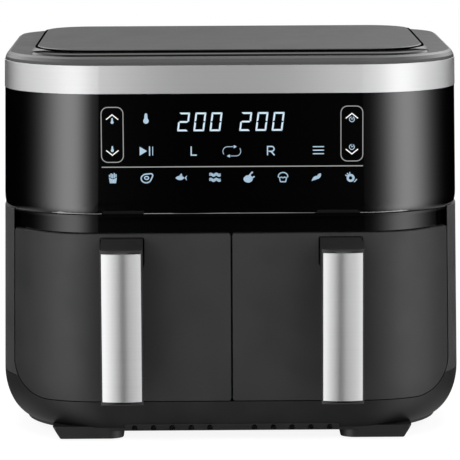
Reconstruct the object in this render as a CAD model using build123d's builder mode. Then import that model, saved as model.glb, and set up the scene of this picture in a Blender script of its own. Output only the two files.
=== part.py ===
from build123d import *
import os
from math import asin, cos, radians, sin, sqrt, tan

# Air fryer with two side-by-side drawers. Millimetres. X runs to the right, Y to the back and Z up;
# while it is built, Y = 0 is the front of the housing. Z = 0 is the worktop.

# ---- Housing form ----
body_width = 394.0  # widest, at the seam between the tub and the side shell
body_depth = 316.0  # front face to rear face at the seam
front_corner_radius = 83.0
rear_corner_radius = 60.0
side_draft = 0.87  # degrees; the sides and the back lean in towards the top
bowl_height = 43.0  # height of the rounded underside
side_tuck = 27.5  # how far the underside comes in at the sides
front_tuck = 8.0
rear_tuck = 24.0
bowl_sections = 6  # plan sections lofted through the rounded underside
shell_wall = 2.5
seam_reveal = 0.6  # shadow groove between the tub and the side shell

# ---- Heights, stacked from the worktop ----
foot_height = 8.3
base_plate_thickness = 2.5
apron_top = 35.1  # top of the apron below the drawer fronts
drawer_front_height = 142.9
brow_height = 15.5  # recessed band above the drawer fronts, with its lip
brow_lip = 2.0  # lip between the band and the bottom edge of the fascia
brow_shelf = 2.0
fascia_height = 102.2
band_height = 23.5
rim_height = 6.8
plinth_rise = 2.8  # raised platform round the top plate
plate_proud = 1.4  # top plate above its platform

# ---- Clearances ----
fit_gap = 0.3  # between pieces that pass or seat without touching
front_gap = 0.8  # round and between the drawer fronts

# ---- Drawer lanes ----
centre_web = 10.0  # between the two cavity liners
side_room = 18.0  # between a cavity liner and the housing's side
cavity_wall = 1.0
cavity_width = (body_width - centre_web) / 2 - side_room - 2 * cavity_wall
cavity_front = 23.0
cavity_depth = 250.0
cavity_height = 189.0
cavity_corner_radius = 57.0  # front outer corner of a liner, inside the housing's corner
divider_head = 8.0
divider_length = 40.0
divider_web = 3.0
runner_height = 2.5
runner_width = 8.0
runner_spacing = 110.0
pan_headroom = 3.0

# ---- Drawer fronts ----
front_margin = 10.6  # between a drawer front's lower outer edge and the housing's side
front_reach = body_width / 2 - front_margin
front_outer_radius = 30.0  # lower outer corner of a drawer front
front_corner = 2.0
front_wall = 3.0
front_skirt_wall = 2.5
front_skirt_depth = 14.0
front_side_depth = 54.0  # how far back a front wraps round the housing corner
boss_radius = 4.0

# ---- Pan and crisper plate ----
pan_front = 20.0
pan_length = 246.0
pan_side_gap = 6.0  # between the pan and the liner, for the runners
pan_width = cavity_width - 2 * pan_side_gap
pan_height = 129.0
pan_wall = 0.8
pan_draft = 1.2
pan_corner_radius = 24.0
pan_floor_radius = 10.0
pan_flange = 3.0
crisper_thickness = 1.5
crisper_lift = 14.0  # underside of the plate above the pan floor
crisper_margin = 2.0  # between the plate and the pan wall
slot_length = 14.0
slot_width = 4.0
slot_pitch_x = 19.0
slot_pitch_y = 11.0
slot_margin_x = 20.0  # plain border of the crisper plate, both sides together
slot_margin_y = 40.0
finger_hole_radius = 11.0
bumper_radius = 5.0

# ---- Handle ----
handle_width = 35.2
handle_reach = 42.0  # front of the grip from the housing's front
grip_thickness = 15.0
grip_low = 39.8
grip_crown = 3.0  # how far the front of the grip bulges
arm_below_edge = 3.2  # top of the handle's arm below the drawer front's top edge
arm_height = 23.8
arm_slope = 4.6
arm_hole_gap = 1.2
cover_width = 32.8
cover_low = 42.8
cover_height = 124.5
cover_thickness = 1.2
cover_proud = 0.4
cover_gap = 0.1

# ---- Control panel ----
fascia_wall = 3.0
fascia_wrap = 92.0  # how far back the panel wraps round the sides
roll_depth = 2.2  # the panel's bottom edge rolls in
roll_height = 10.5
roll_sections = 6
roll_turn = 75.0  # degrees of the roll's elliptical profile
carrier_wall = 2.5
brow_recess = 6.0
lip_inset = 1.2
display_width = 150.0
display_height = 84.0
display_board_gap = 4.0
led_width = 106.0
led_height = 24.0
led_rise = 62.0  # middle of the LED block above the bottom of the fascia

# ---- Top ----
band_wall = 1.2
band_proud = 0.4  # of the panel and the side shell below it
rim_wall = 2.2
rim_skirt = 8.0
deck_thickness = 2.5
plinth_side = 23.0  # platform's edge in from the housing's side
plinth_front = 26.0
plinth_rear = 16.5
plate_inset = 28.0
plate_rear_inset = 22.0
plate_gap = 2.2
seal_width = 2.1
seal_drop = 0.6  # top of the seal below the plate
plate_depth = 2.0
trim_front = 10.0
trim_end = 46.0
trim_corner_radius = 45.0
trim_gap = 0.6

# ---- Heating ----
guard_drop = 42.0  # guard below the ceiling plate
guard_thickness = 1.2
guard_slot_width = 9.0
guard_slot_pitch = 13.0
guard_border = 60.0  # plain part of the guard, both ends together
ledge_depth = 3.5
ceiling_thickness = 1.2
fan_back = 125.0  # fan axis behind the cavity's front face
heater_drop = 29.0
heater_radius = 3.2
heater_bend = 14.0
heater_loop = 118.0
heater_lead_spacing = 30.0
heater_terminal_height = 14.0
bushing_radius = 6.0
bushing_height = 5.0
hot_fan_radius = 50.0
hot_fan_drop = 6.0
hot_fan_blade_height = 13.0
hot_fan_blades = 8
hot_fan_sheet = 1.2
shaft_radius = 3.0
shaft_clearance = 0.3
motor_radius = 29.0
motor_height = 34.0
motor_cap_radius = 12.0
lug_reach = 4.0
lug_width = 22.0
motor_cap_height = 4.0
bracket_height = 8.0
bracket_plate = 2.0
bracket_size = 72.0
bracket_leg = 9.0
cooling_fan_radius = 42.0
cooling_fan_height = 11.0
cooling_fan_blades = 9
cooling_fan_gap = 4.0
cooling_hub_radius = 10.0
sensor_radius = 2.5
sensor_length = 26.0
sensor_offset = 40.0

# ---- Electronics and back ----
tray_width = 92.0
tray_depth = 96.0
tray_plate = 2.0
tray_leg_height = 12.0
tray_leg = 8.0
tray_back = 150.0
board_thickness = 1.6
board_standoff = 4.0
board_inset = 2.0  # from the tray's edge to the board's
component_margin = 6.0  # between components, and from the board's edge
relay_width = 16.0
relay_depth = 20.0
relay_height = 16.0
transformer_width = 28.0
transformer_depth = 24.0
transformer_height = 20.0
heat_sink_width = 44.0
heat_sink_depth = 8.0
heat_sink_height = 24.0
tall_capacitor_radius = 7.0
tall_capacitor_height = 22.0
low_capacitor_radius = 5.0
low_capacitor_height = 18.0
controller_width = 24.0
controller_height = 12.0
controller_depth = 6.0
plug_offset = 38.0
plug_width = 16.0
plug_height = 16.0
plug_depth = 4.0
reed_width = 22.0
reed_height = 8.0
reed_depth = 5.0
reed_offset = 34.0  # from the middle of the lane
reed_back_gap = 1.1
magnet_width = 12.0
magnet_height = 6.0
magnet_depth = 3.0
duct_width = 64.0
duct_height = 30.0
duct_wall = 1.0
duct_drop = 22.0  # middle of a duct below the cavity's top
grille_width = 250.0
grille_height = 42.0
grille_depth = 4.0
grille_slots = 5
grille_slot_height = 3.2
gland_radius = 7.0
gland_flange_radius = 10.5
gland_flange = 2.5
gland_side = 112.0
gland_height = 88.0
gland_bore_radius = 3.6
gland_seat = 0.1  # between the flange and the shell
vent_radius = 2.4
vent_pitch = 16.0
vent_depth = 12.0  # from the front plane
vent_sill = 0.8
intake_slot_width = 6.0
intake_slot_length = 90.0
intake_pitch = 14.0
intake_count = 7
vent_count = 5
vent_start = 18.9  # first vent from the centre line
strip_height = 3.7
strip_reach = 91.0
foot_side_gap = 44.2  # between a foot's upper outer edge and the housing's side
foot_width = 61.8
foot_front = 8.0
foot_depth = 38.0
foot_slant = 6.5
foot_inner_slant = 1.5
foot_inner_corner = 14.0
foot_outer_corner = 3.0
foot_rise = 3.4  # how far a foot laps up over the rounded underside
foot_rear_gap = 14.0
slab_inset = 1.0
pad_size = (34.0, 18.0)
pad_thickness = 1.2
post_radius = 5.0

# ---- Levels and places worked out from the sizes ----
base_low = foot_height
foot_outer = body_width / 2 - foot_side_gap
foot_inner = foot_outer - foot_width
tub_low = base_low + base_plate_thickness
seam_level = base_low + bowl_height
drawer_low = apron_top
drawer_high = drawer_low + drawer_front_height
brow_low = drawer_high + front_gap
brow_high = brow_low + brow_height - brow_lip
fascia_low = brow_high + brow_lip
fascia_high = fascia_low + fascia_height
band_high = fascia_high + band_height
rim_high = band_high + rim_height
plinth_high = rim_high + plinth_rise
plate_high = plinth_high + plate_proud
lane_centre = centre_web / 2 + cavity_wall + cavity_width / 2
sill_high = drawer_low - front_gap
cavity_low = sill_high + fit_gap
cavity_high = cavity_low + cavity_height
cavity_rear = cavity_front + cavity_depth
pan_low = cavity_low + cavity_wall + runner_height + fit_gap
pan_high = pan_low + pan_height
pan_middle = pan_front + pan_length / 2
arm_high = drawer_high - arm_below_edge
arm_low = arm_high - arm_height
ceiling_top = cavity_high + ceiling_thickness
fan_y = cavity_front + fan_back
guard_top = cavity_high - guard_drop
bracket_top = ceiling_top + bracket_height
motor_top = bracket_top + motor_height
shaft_top = motor_top + motor_cap_height + cooling_fan_gap + cooling_fan_height
hot_fan_top = cavity_high - hot_fan_drop
duct_level = cavity_high - duct_drop
total_front = -handle_reach - cover_proud


# ---- Shared forms ----
def bowl_share(level):
    """Share of the underside's tuck at a height: 0 at the seam, 1 where the bowl turns flat."""
    drop = min(1.0, max(0.0, (seam_level - level) / bowl_height))
    return 1 - sqrt(1 - drop * drop)


def draft_in(level):
    """How far the side walls lean in at a height above the seam."""
    return max(0.0, level - seam_level) * tan(radians(side_draft))


def half_width(level):
    return body_width / 2 - side_tuck * bowl_share(level) - draft_in(level)


def front_line(level):
    return front_tuck * bowl_share(level)


def rear_line(level):
    return body_depth - rear_tuck * bowl_share(level) - draft_in(level)


def front_surface(x, level):
    """Y of the housing's front surface at a distance from the centre line."""
    beyond = max(0.0, abs(x) - (half_width(level) - front_corner_radius))
    return front_line(level) + front_corner_radius - sqrt(front_corner_radius**2 - beyond**2)


def plan_outline(level, inset=0.0):
    """Face of the housing's plan at a height, pulled in by an inset, in the current sketch."""
    half = half_width(level) - inset
    front = front_line(level) + inset
    rear = rear_line(level) - inset
    front_radius = front_corner_radius - inset
    rear_radius = rear_corner_radius - inset
    with BuildLine() as outline:
        FilletPolyline(
            (-half, rear),
            (-half, front),
            (half, front),
            (half, rear),
            radius=(rear_radius, front_radius, front_radius, rear_radius),
            close=True,
        )
    make_face(outline.edges())


def housing_form(low, high, inset=0.0):
    """Solid with the housing's outside shape between two heights, pulled in by an inset."""
    with BuildPart() as form:
        if low < seam_level:
            top = min(high, seam_level)
            start = asin(min(1.0, (seam_level - low) / bowl_height))
            end = asin((seam_level - top) / bowl_height)
            for section in range(bowl_sections):
                turn = start + (end - start) * section / (bowl_sections - 1)
                level = seam_level - bowl_height * sin(turn)
                with BuildSketch(Plane.XY.offset(level)):
                    plan_outline(level, inset)
            loft()
        if high > seam_level:
            for level in (max(low, seam_level), high):
                with BuildSketch(Plane.XY.offset(level)):
                    plan_outline(level, inset)
            loft(ruled=True)
    return form.part


def block(x_range, y_range, z_range, mode=Mode.ADD):
    """Box between limits along each axis, in the current part."""
    middle = [(low + high) / 2 for low, high in (x_range, y_range, z_range)]
    with Locations(tuple(middle)):
        Box(
            x_range[1] - x_range[0],
            y_range[1] - y_range[0],
            z_range[1] - z_range[0],
            mode=mode,
        )


def upright(x, y, low, high, radius, mode=Mode.ADD):
    """Vertical cylinder between two heights, in the current part."""
    with Locations((x, y, (low + high) / 2)):
        Cylinder(radius, high - low, mode=mode)


def save(shape, name):
    shape = Pos(0, -origin_y, 0) * shape
    shape.label = name
    export_step(shape, f"parts/{name}.step")


def save_pair(shape, name):
    """Write the right-hand piece and its mirror image on the left."""
    save(shape, f"right_{name}")
    save(mirror(shape, about=Plane.YZ), f"left_{name}")


def save_twice(shape, name):
    """Write a right-hand piece and an identical one moved to the left lane."""
    save(shape, f"right_{name}")
    save(Pos(-2 * lane_centre, 0, 0) * shape, f"left_{name}")


os.makedirs("parts", exist_ok=True)
gland_face = rear_line(gland_height - gland_flange_radius) + gland_seat
origin_y = (total_front + gland_face + gland_flange) / 2


# ---- Openings in the front, shared by the tub, the side shell and the fronts ----
def outer_edge(level):
    """Outer edge of a drawer front from the centre line; it leans in with the housing's side."""
    return front_reach - (level - drawer_low) * tan(radians(side_draft))


def drawer_outline(grow=0.0):
    """Face of one drawer front seen from the front, grown by a clearance."""
    with BuildLine() as outline:
        FilletPolyline(
            (front_gap - grow, drawer_low - grow),
            (front_reach + grow, drawer_low - grow),
            (outer_edge(drawer_high) + grow, drawer_high + grow),
            (front_gap - grow, drawer_high + grow),
            radius=(front_corner, front_outer_radius + grow, front_corner, front_corner),
            close=True,
        )
    make_face(outline.edges())


opening_half = front_reach + front_gap
opening_top_half = outer_edge(fascia_low) + front_gap
with BuildPart() as front_opening:
    with BuildSketch(Plane.XZ.offset(front_gap)):
        with BuildLine():
            FilletPolyline(
                (-opening_half, sill_high),
                (opening_half, sill_high),
                (opening_top_half, fascia_low),
                (-opening_top_half, fascia_low),
                radius=(front_outer_radius + front_gap, front_outer_radius + front_gap, 0, 0),
                close=True,
            )
        make_face()
    extrude(amount=-(front_side_depth + front_gap + 8))

tub_outer = housing_form(tub_low, seam_level)
tub_inner = housing_form(tub_low, seam_level, shell_wall)
shell_outer = housing_form(seam_level, fascia_high)
shell_inner = housing_form(seam_level, fascia_high, shell_wall)

# ---- Lower tub: rounded underside, apron below the drawers and the sill they close over ----
sill_form = housing_form(sill_high - shell_wall, sill_high, shell_wall / 2)
reveal_outer = housing_form(seam_level - seam_reveal, seam_level, -1)
reveal_inner = housing_form(seam_level - seam_reveal, seam_level, seam_reveal)
with BuildPart() as reveal_ring:
    add(reveal_outer)
    add(reveal_inner, mode=Mode.SUBTRACT)
with BuildPart() as tub_wall:
    add(tub_outer)
    add(tub_inner, mode=Mode.SUBTRACT)
    add(front_opening.part, mode=Mode.SUBTRACT)
    block(
        (-strip_reach - fit_gap, strip_reach + fit_gap),
        (-1, 40),
        (tub_low - 1, tub_low + strip_height + fit_gap),
        mode=Mode.SUBTRACT,
    )
    add(reveal_ring.part, mode=Mode.SUBTRACT)
with BuildPart() as sill:
    add(sill_form)
    block((-body_width, body_width), (cavity_front + 1, body_depth + 1), (0, 100), mode=Mode.SUBTRACT)
with BuildPart() as lower_tub:
    add(tub_wall.part)
    add(sill.part)
save(lower_tub.part, "lower_tub")

# ---- Base plate: closes the underside, carries the liners on posts and holds the front vent strip ----
base_outer = housing_form(tub_low, tub_low + strip_height)
base_inner = housing_form(tub_low, tub_low + strip_height, shell_wall)
with BuildPart() as strip:
    add(base_outer)
    add(base_inner, mode=Mode.SUBTRACT)
    block((-strip_reach, strip_reach), (-1, 30), (0, 60), mode=Mode.INTERSECT)
with BuildPart() as base_slab:
    with BuildSketch(Plane.XY.offset(base_low)):
        plan_outline(tub_low, slab_inset)
    with BuildSketch(Plane.XY.offset(tub_low)):
        plan_outline(tub_low)
    loft(ruled=True)
vent_arch = tub_low + strip_height - 1 - vent_radius  # middle of a vent's round top
with BuildPart() as base_plate:
    add(base_slab.part)
    add(strip.part)
    with BuildSketch(Plane.XZ):
        for side in (-1, 1):
            for step in range(vent_count):
                x = side * (vent_start + step * vent_pitch)
                with Locations((x, vent_arch)):
                    Circle(vent_radius)
                with Locations((x, (vent_arch + base_low + vent_sill) / 2)):
                    Rectangle(2 * vent_radius, vent_arch - base_low - vent_sill)
    extrude(amount=-vent_depth, mode=Mode.SUBTRACT)
    with Locations((lane_centre, fan_y, base_low), (-lane_centre, fan_y, base_low)):
        with GridLocations(intake_pitch, 0, intake_count, 1):
            Box(intake_slot_width, intake_slot_length, 20, mode=Mode.SUBTRACT)
    for side in (-1, 1):
        for offset_x in (-runner_spacing / 2, runner_spacing / 2):
            for y in (cavity_front + 40, cavity_rear - 30):
                x = side * (lane_centre + offset_x)
                upright(x, y, tub_low, cavity_low, post_radius)
save(base_plate.part, "base_plate")

# ---- Feet with rubber pads ----
def foot_profile():
    """Face of a foot seen from the front, between the pad and its top."""
    with BuildLine() as outline:
        FilletPolyline(
            (foot_inner, base_low + foot_rise),
            (foot_inner + foot_inner_slant, pad_thickness),
            (foot_outer - foot_slant, pad_thickness),
            (foot_outer, base_low + foot_rise),
            radius=(0, 1.5, 2.0, 0),
            close=True,
        )
    make_face(outline.edges())


foot_rear = foot_front + foot_depth
with BuildPart() as front_foot_plan:
    with BuildSketch(Plane.XY):
        with BuildLine():
            FilletPolyline(
                (foot_inner, foot_rear),
                (foot_inner, foot_front),
                (foot_outer, foot_front),
                (foot_outer, foot_rear),
                radius=(foot_outer_corner, foot_inner_corner, foot_outer_corner, foot_outer_corner),
                close=True,
            )
        make_face()
    extrude(amount=base_low + foot_rise)
with BuildPart() as front_foot:
    with BuildSketch(Plane.XZ.offset(-foot_front)):
        foot_profile()
    extrude(amount=-foot_depth)
    add(front_foot_plan.part, mode=Mode.INTERSECT)
    add(tub_outer, mode=Mode.SUBTRACT)
    add(base_slab.part, mode=Mode.SUBTRACT)
rear_edge = rear_line(tub_low) - foot_rear_gap
with BuildPart() as rear_foot:
    with BuildSketch(Plane.XZ.offset(-rear_edge)):
        foot_profile()
    extrude(amount=foot_depth)
    add(tub_outer, mode=Mode.SUBTRACT)
    add(base_slab.part, mode=Mode.SUBTRACT)
save_pair(front_foot.part, "front_foot")
save_pair(rear_foot.part, "rear_foot")

pad_middle = (foot_inner + foot_inner_slant + foot_outer - foot_slant) / 2
with BuildPart() as foot_pads:
    for side in (-1, 1):
        for y in (foot_front + foot_depth / 2, rear_edge - foot_depth / 2):
            with BuildSketch(Plane.XY):
                with Locations((side * pad_middle, y)):
                    RectangleRounded(*pad_size, 4)
            extrude(amount=pad_thickness)
save(foot_pads.part, "foot_pads")

# ---- Side shell: sides and back of the housing ----
with BuildPart() as side_shell:
    add(shell_outer)
    add(shell_inner, mode=Mode.SUBTRACT)
    add(front_opening.part, mode=Mode.SUBTRACT)
    block(
        (-body_width, body_width), (-10, fascia_wrap), (fascia_low, fascia_high + 1), mode=Mode.SUBTRACT
    )
    block(
        (-grille_width / 2, grille_width / 2),
        (body_depth - 30, body_depth + 10),
        (duct_level - grille_height / 2, duct_level + grille_height / 2),
        mode=Mode.SUBTRACT,
    )
    with Locations(Plane.XZ.offset(-body_depth)):
        with Locations((-gland_side, gland_height)):
            Cylinder(gland_radius, 30, mode=Mode.SUBTRACT)
save(side_shell.part, "side_shell")

# ---- Rear exhaust grille and the two ducts behind the cavities ----
grille_rear = rear_line(duct_level) - 0.4
with BuildPart() as exhaust_grille:
    block(
        (-grille_width / 2 + fit_gap, grille_width / 2 - fit_gap),
        (grille_rear - grille_depth, grille_rear),
        (duct_level - grille_height / 2 + fit_gap, duct_level + grille_height / 2 - fit_gap),
    )
    for side in (-1, 1):
        for step in range(grille_slots):
            z = duct_level + (step - (grille_slots - 1) / 2) * grille_slot_height * 2.1
            middle = side * grille_width / 4
            half = grille_width / 4 - 6
            block(
                (middle - half, middle + half),
                (grille_rear - grille_depth - 1, grille_rear + 1),
                (z - grille_slot_height / 2, z + grille_slot_height / 2),
                mode=Mode.SUBTRACT,
            )
save(exhaust_grille.part, "exhaust_grille")

duct_rear = grille_rear - grille_depth - fit_gap
with BuildPart() as exhaust_duct:
    block(
        (lane_centre - duct_width / 2, lane_centre + duct_width / 2),
        (cavity_rear, duct_rear),
        (duct_level - duct_height / 2, duct_level + duct_height / 2),
    )
    block(
        (lane_centre - duct_width / 2 + duct_wall, lane_centre + duct_width / 2 - duct_wall),
        (cavity_rear - 1, duct_rear + 1),
        (duct_level - duct_height / 2 + duct_wall, duct_level + duct_height / 2 - duct_wall),
        mode=Mode.SUBTRACT,
    )
save_pair(exhaust_duct.part, "exhaust_duct")

# ---- Cord gland in the back ----
with BuildPart() as cord_gland:
    with BuildSketch(Plane.XZ.offset(-gland_face)):
        with Locations((-gland_side, gland_height)):
            Circle(gland_flange_radius)
    extrude(amount=-gland_flange)
    fillet(cord_gland.edges().group_by(Axis.Y)[-1], 1.2)
    with BuildSketch(Plane.XZ.offset(-gland_face)):
        with Locations((-gland_side, gland_height)):
            Circle(gland_radius - fit_gap)
    extrude(amount=shell_wall + 6)
    with BuildSketch(Plane.XZ.offset(-gland_face - gland_flange)):
        with Locations((-gland_side, gland_height)):
            Circle(gland_bore_radius)
    extrude(amount=gland_flange + 4, mode=Mode.SUBTRACT)
save(cord_gland.part, "cord_gland")

# ---- Control fascia: gloss panel wrapped round the front corners ----
fascia_body = housing_form(fascia_low + roll_height, fascia_high)
fascia_inner = housing_form(fascia_low, fascia_high, fascia_wall)
with BuildPart() as fascia_roll:
    for section in range(roll_sections):
        turn = radians(roll_turn) * (1 - section / (roll_sections - 1))
        inset = roll_depth * (1 - cos(turn)) / (1 - cos(radians(roll_turn)))
        level = fascia_low + roll_height * (1 - sin(turn) / sin(radians(roll_turn)))
        with BuildSketch(Plane.XY.offset(level)):
            plan_outline(level, inset)
    loft()
with BuildPart() as control_fascia:
    add(fascia_roll.part)
    add(fascia_body)
    add(fascia_inner, mode=Mode.SUBTRACT)
    block((-body_width, body_width), (-10, fascia_wrap), (fascia_low, fascia_high), mode=Mode.INTERSECT)
save(control_fascia.part, "control_fascia")

# ---- Fascia carrier: inner frame that stiffens the fascia and holds the display board ----
carrier_inset = fascia_wall + fit_gap
carrier_back = carrier_inset + carrier_wall
carrier_outer = housing_form(fascia_low, fascia_high - fit_gap, carrier_inset)
carrier_inner = housing_form(fascia_low, fascia_high - fit_gap, carrier_back)
led_level = fascia_low + led_rise
with BuildPart() as fascia_carrier:
    add(carrier_outer)
    add(carrier_inner, mode=Mode.SUBTRACT)
    block(
        (-body_width, body_width), (-10, fascia_wrap - 4), (fascia_low, fascia_high), mode=Mode.INTERSECT
    )
    block(
        (-led_width / 2 - 1, led_width / 2 + 1),
        (-1, carrier_back + 1),
        (led_level - led_height / 2 - 1, led_level + led_height / 2 + 1),
        mode=Mode.SUBTRACT,
    )
    for x in (-display_width / 2 + 6, display_width / 2 - 6):
        for z in (led_level - display_height / 2 + 6, led_level + display_height / 2 - 6):
            with BuildSketch(Plane.XZ.offset(-(carrier_back - 0.5))):
                with Locations((x, z)):
                    Circle(boss_radius)
            extrude(amount=-(display_board_gap + 0.5))
save(fascia_carrier.part, "fascia_carrier")

# ---- Display board with its LED block behind the fascia ----
board_front = carrier_back + display_board_gap
with BuildPart() as display_board:
    block(
        (-display_width / 2, display_width / 2),
        (board_front, board_front + board_thickness),
        (led_level - display_height / 2, led_level + display_height / 2),
    )
    block(
        (-led_width / 2, led_width / 2),
        (carrier_inset, board_front),
        (led_level - led_height / 2, led_level + led_height / 2),
    )
    controller_low = led_level - display_height / 2 + 2 * component_margin
    block(
        (-controller_width / 2, controller_width / 2),
        (board_front, board_front + controller_depth),
        (controller_low, controller_low + controller_height),
    )
    block(
        (plug_offset - plug_width / 2, plug_offset + plug_width / 2),
        (board_front, board_front + plug_depth),
        (led_level - plug_height / 2, led_level + plug_height / 2),
    )
save(display_board.part, "display_board")

# ---- Brow strip: recessed gloss band above the drawers, with its lip and closing shelf ----
brow_back = brow_recess + shell_wall
brow_reach = outer_edge(fascia_low)
lip_outer = housing_form(brow_high, fascia_low, lip_inset)
lip_inner = housing_form(brow_high, fascia_low, brow_back)
brow_outer = housing_form(brow_low, brow_high, brow_recess)
brow_inner = housing_form(brow_low, brow_high, brow_back)
shelf_form = housing_form(brow_low, brow_low + brow_shelf, brow_recess)
with BuildPart() as brow_shelf_piece:
    add(shelf_form)
    block(
        (-brow_reach, brow_reach),
        (-1, cavity_front - fit_gap),
        (brow_low, brow_high),
        mode=Mode.INTERSECT,
    )
with BuildPart() as brow_strip:
    add(brow_outer)
    add(brow_inner, mode=Mode.SUBTRACT)
    add(lip_outer)
    add(lip_inner, mode=Mode.SUBTRACT)
    block(
        (-brow_reach, brow_reach),
        (-1, front_side_depth + brow_back),
        (brow_low, fascia_low),
        mode=Mode.INTERSECT,
    )
    add(brow_shelf_piece.part)
save(brow_strip.part, "brow_strip")

# ---- Centre divider between the drawers, standing on the sill ----
with BuildPart() as centre_divider:
    with BuildSketch(Plane.XY.offset(sill_high)):
        with Locations((0, cavity_front - 1)):
            Rectangle(centre_web - 2 * fit_gap, divider_head)
        with Locations((0, cavity_front + divider_length / 2)):
            Rectangle(divider_web, divider_length)
    extrude(amount=brow_low - sill_high)
save(centre_divider.part, "centre_divider")

# ---- Steel band round the top of the housing ----
band_outer = housing_form(fascia_high, band_high, -band_proud)
band_inner = housing_form(fascia_high, band_high, band_wall)
with BuildPart() as steel_band:
    add(band_outer)
    add(band_inner, mode=Mode.SUBTRACT)
save(steel_band.part, "steel_band")


# ---- Top rim: lid moulding with a bevelled edge and a raised platform for the top plate ----
def platform_outline(side, front, rear, front_radius, rear_radius, level):
    """Face of a rounded platform set in from the housing's sides, front and back."""
    half = half_width(level) - side
    back = rear_line(level) - rear
    with BuildLine() as outline:
        FilletPolyline(
            (-half, back),
            (-half, front),
            (half, front),
            (half, back),
            radius=(rear_radius, front_radius, front_radius, rear_radius),
            close=True,
        )
    make_face(outline.edges())


rim_bevel = ((0.0, 0.0), (0.38, 0.5), (0.78, 2.0), (1.0, 4.6))  # share of the height, inset
skirt_outer = housing_form(band_high - rim_skirt, band_high, band_wall + fit_gap)
skirt_inner = housing_form(band_high - rim_skirt, rim_high - deck_thickness, band_wall + fit_gap + rim_wall)
plate_front_radius = front_corner_radius - plate_inset
plate_rear_radius = rear_corner_radius - plate_rear_inset
with BuildPart() as top_rim:
    for share, inset in rim_bevel:
        level = band_high + share * rim_height
        with BuildSketch(Plane.XY.offset(level)):
            plan_outline(level, inset)
    loft(ruled=True)
    with BuildSketch(Plane.XY.offset(rim_high)):
        platform_outline(
            plinth_side, plinth_front, plinth_rear, plate_front_radius + 3, plate_rear_radius + 4, rim_high
        )
    extrude(amount=plinth_rise, taper=35)
    add(skirt_outer)
    add(skirt_inner, mode=Mode.SUBTRACT)
    with BuildSketch(Plane.XY.offset(plate_high - plate_depth - plate_proud)):
        platform_outline(
            plate_inset - plate_gap,
            plate_inset - plate_gap,
            plate_rear_inset - plate_gap,
            plate_front_radius + plate_gap,
            plate_rear_radius + plate_gap,
            rim_high,
        )
    extrude(amount=plate_depth + plate_proud, mode=Mode.SUBTRACT)
save(top_rim.part, "top_rim")

with BuildPart() as top_plate:
    with BuildSketch(Plane.XY.offset(plate_high - plate_depth - plate_proud)):
        platform_outline(
            plate_inset, plate_inset, plate_rear_inset, plate_front_radius, plate_rear_radius, rim_high
        )
    extrude(amount=plate_depth + plate_proud)
    chamfer(top_plate.edges().group_by(Axis.Z)[-1], 0.5)
save(top_plate.part, "top_plate")

# ---- Seal round the top plate ----
with BuildPart() as plate_seal:
    with BuildSketch(Plane.XY.offset(plate_high - plate_depth - plate_proud)):
        platform_outline(
            plate_inset - seal_width,
            plate_inset - seal_width,
            plate_rear_inset - seal_width,
            plate_front_radius + seal_width,
            plate_rear_radius + seal_width,
            rim_high,
        )
    extrude(amount=plate_depth + plate_proud - seal_drop)
    add(top_plate.part, mode=Mode.SUBTRACT)
save(plate_seal.part, "plate_seal")

# ---- Gloss trim strip in front of the top plate ----
with BuildPart() as trim_cut:
    with BuildSketch(Plane.XY.offset(rim_high - 1)):
        platform_outline(
            plinth_side - trim_gap,
            plinth_front - trim_gap,
            plinth_rear,
            plate_front_radius + 3,
            plate_rear_radius + 4,
            rim_high,
        )
    extrude(amount=10)
with BuildPart() as top_trim_strip:
    for rise, inset in ((0.0, 0.0), (1.5, 1.0), (2.3, 5.0), (2.5, 11.0)):
        with BuildSketch(Plane.XY.offset(rim_high + rise)):
            platform_outline(
                plinth_side + inset,
                trim_front + inset,
                plinth_rear + inset,
                trim_corner_radius - inset,
                trim_corner_radius - inset,
                rim_high,
            )
    loft(ruled=True)
    add(trim_cut.part, mode=Mode.SUBTRACT)
    block((-body_width, body_width), (0, trim_end), (rim_high, rim_high + 10), mode=Mode.INTERSECT)
save(top_trim_strip.part, "top_trim_strip")

# ---- Cavity liners ----
lane_low = lane_centre - cavity_width / 2
lane_high = lane_centre + cavity_width / 2
opening_high = pan_high + pan_headroom
guard_low = guard_top - guard_thickness


def liner_outline(inset=0.0, mode=Mode.ADD):
    """Face of a liner's plan, pulled in by an inset from its outside."""
    low_x = lane_low - cavity_wall + inset
    high_x = lane_high + cavity_wall - inset
    front = cavity_front + inset
    rear = cavity_rear - inset
    with BuildLine() as outline:
        FilletPolyline(
            (low_x, rear),
            (low_x, front),
            (high_x, front),
            (high_x, rear),
            radius=(0, 0, cavity_corner_radius - inset, 0),
            close=True,
        )
    make_face(outline.edges(), mode=mode)


with BuildPart() as cavity_liner:
    with BuildSketch(Plane.XY.offset(cavity_low)):
        liner_outline()
    extrude(amount=cavity_height)
    with BuildSketch(Plane.XY.offset(cavity_low + cavity_wall)):
        liner_outline(cavity_wall)
    extrude(amount=cavity_height, mode=Mode.SUBTRACT)
    block(
        (lane_low, lane_high + 2 * cavity_wall),
        (cavity_front - 1, cavity_front + cavity_corner_radius),
        (cavity_low + cavity_wall, opening_high),
        mode=Mode.SUBTRACT,
    )
    block(
        (lane_centre - duct_width / 2 + duct_wall, lane_centre + duct_width / 2 - duct_wall),
        (cavity_rear - 5, cavity_rear + 1),
        (duct_level - duct_height / 2 + duct_wall, duct_level + duct_height / 2 - duct_wall),
        mode=Mode.SUBTRACT,
    )
    for x in (lane_centre - runner_spacing / 2, lane_centre + runner_spacing / 2):
        block(
            (x - runner_width / 2, x + runner_width / 2),
            (cavity_front + 8, cavity_rear - 20),
            (cavity_low + cavity_wall, cavity_low + cavity_wall + runner_height),
        )
    with BuildSketch(Plane.XY.offset(guard_low - cavity_wall)):
        liner_outline(cavity_wall / 2)
        liner_outline(cavity_wall + ledge_depth, Mode.SUBTRACT)
    extrude(amount=cavity_wall)
save_pair(cavity_liner.part, "cavity_liner")

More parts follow.
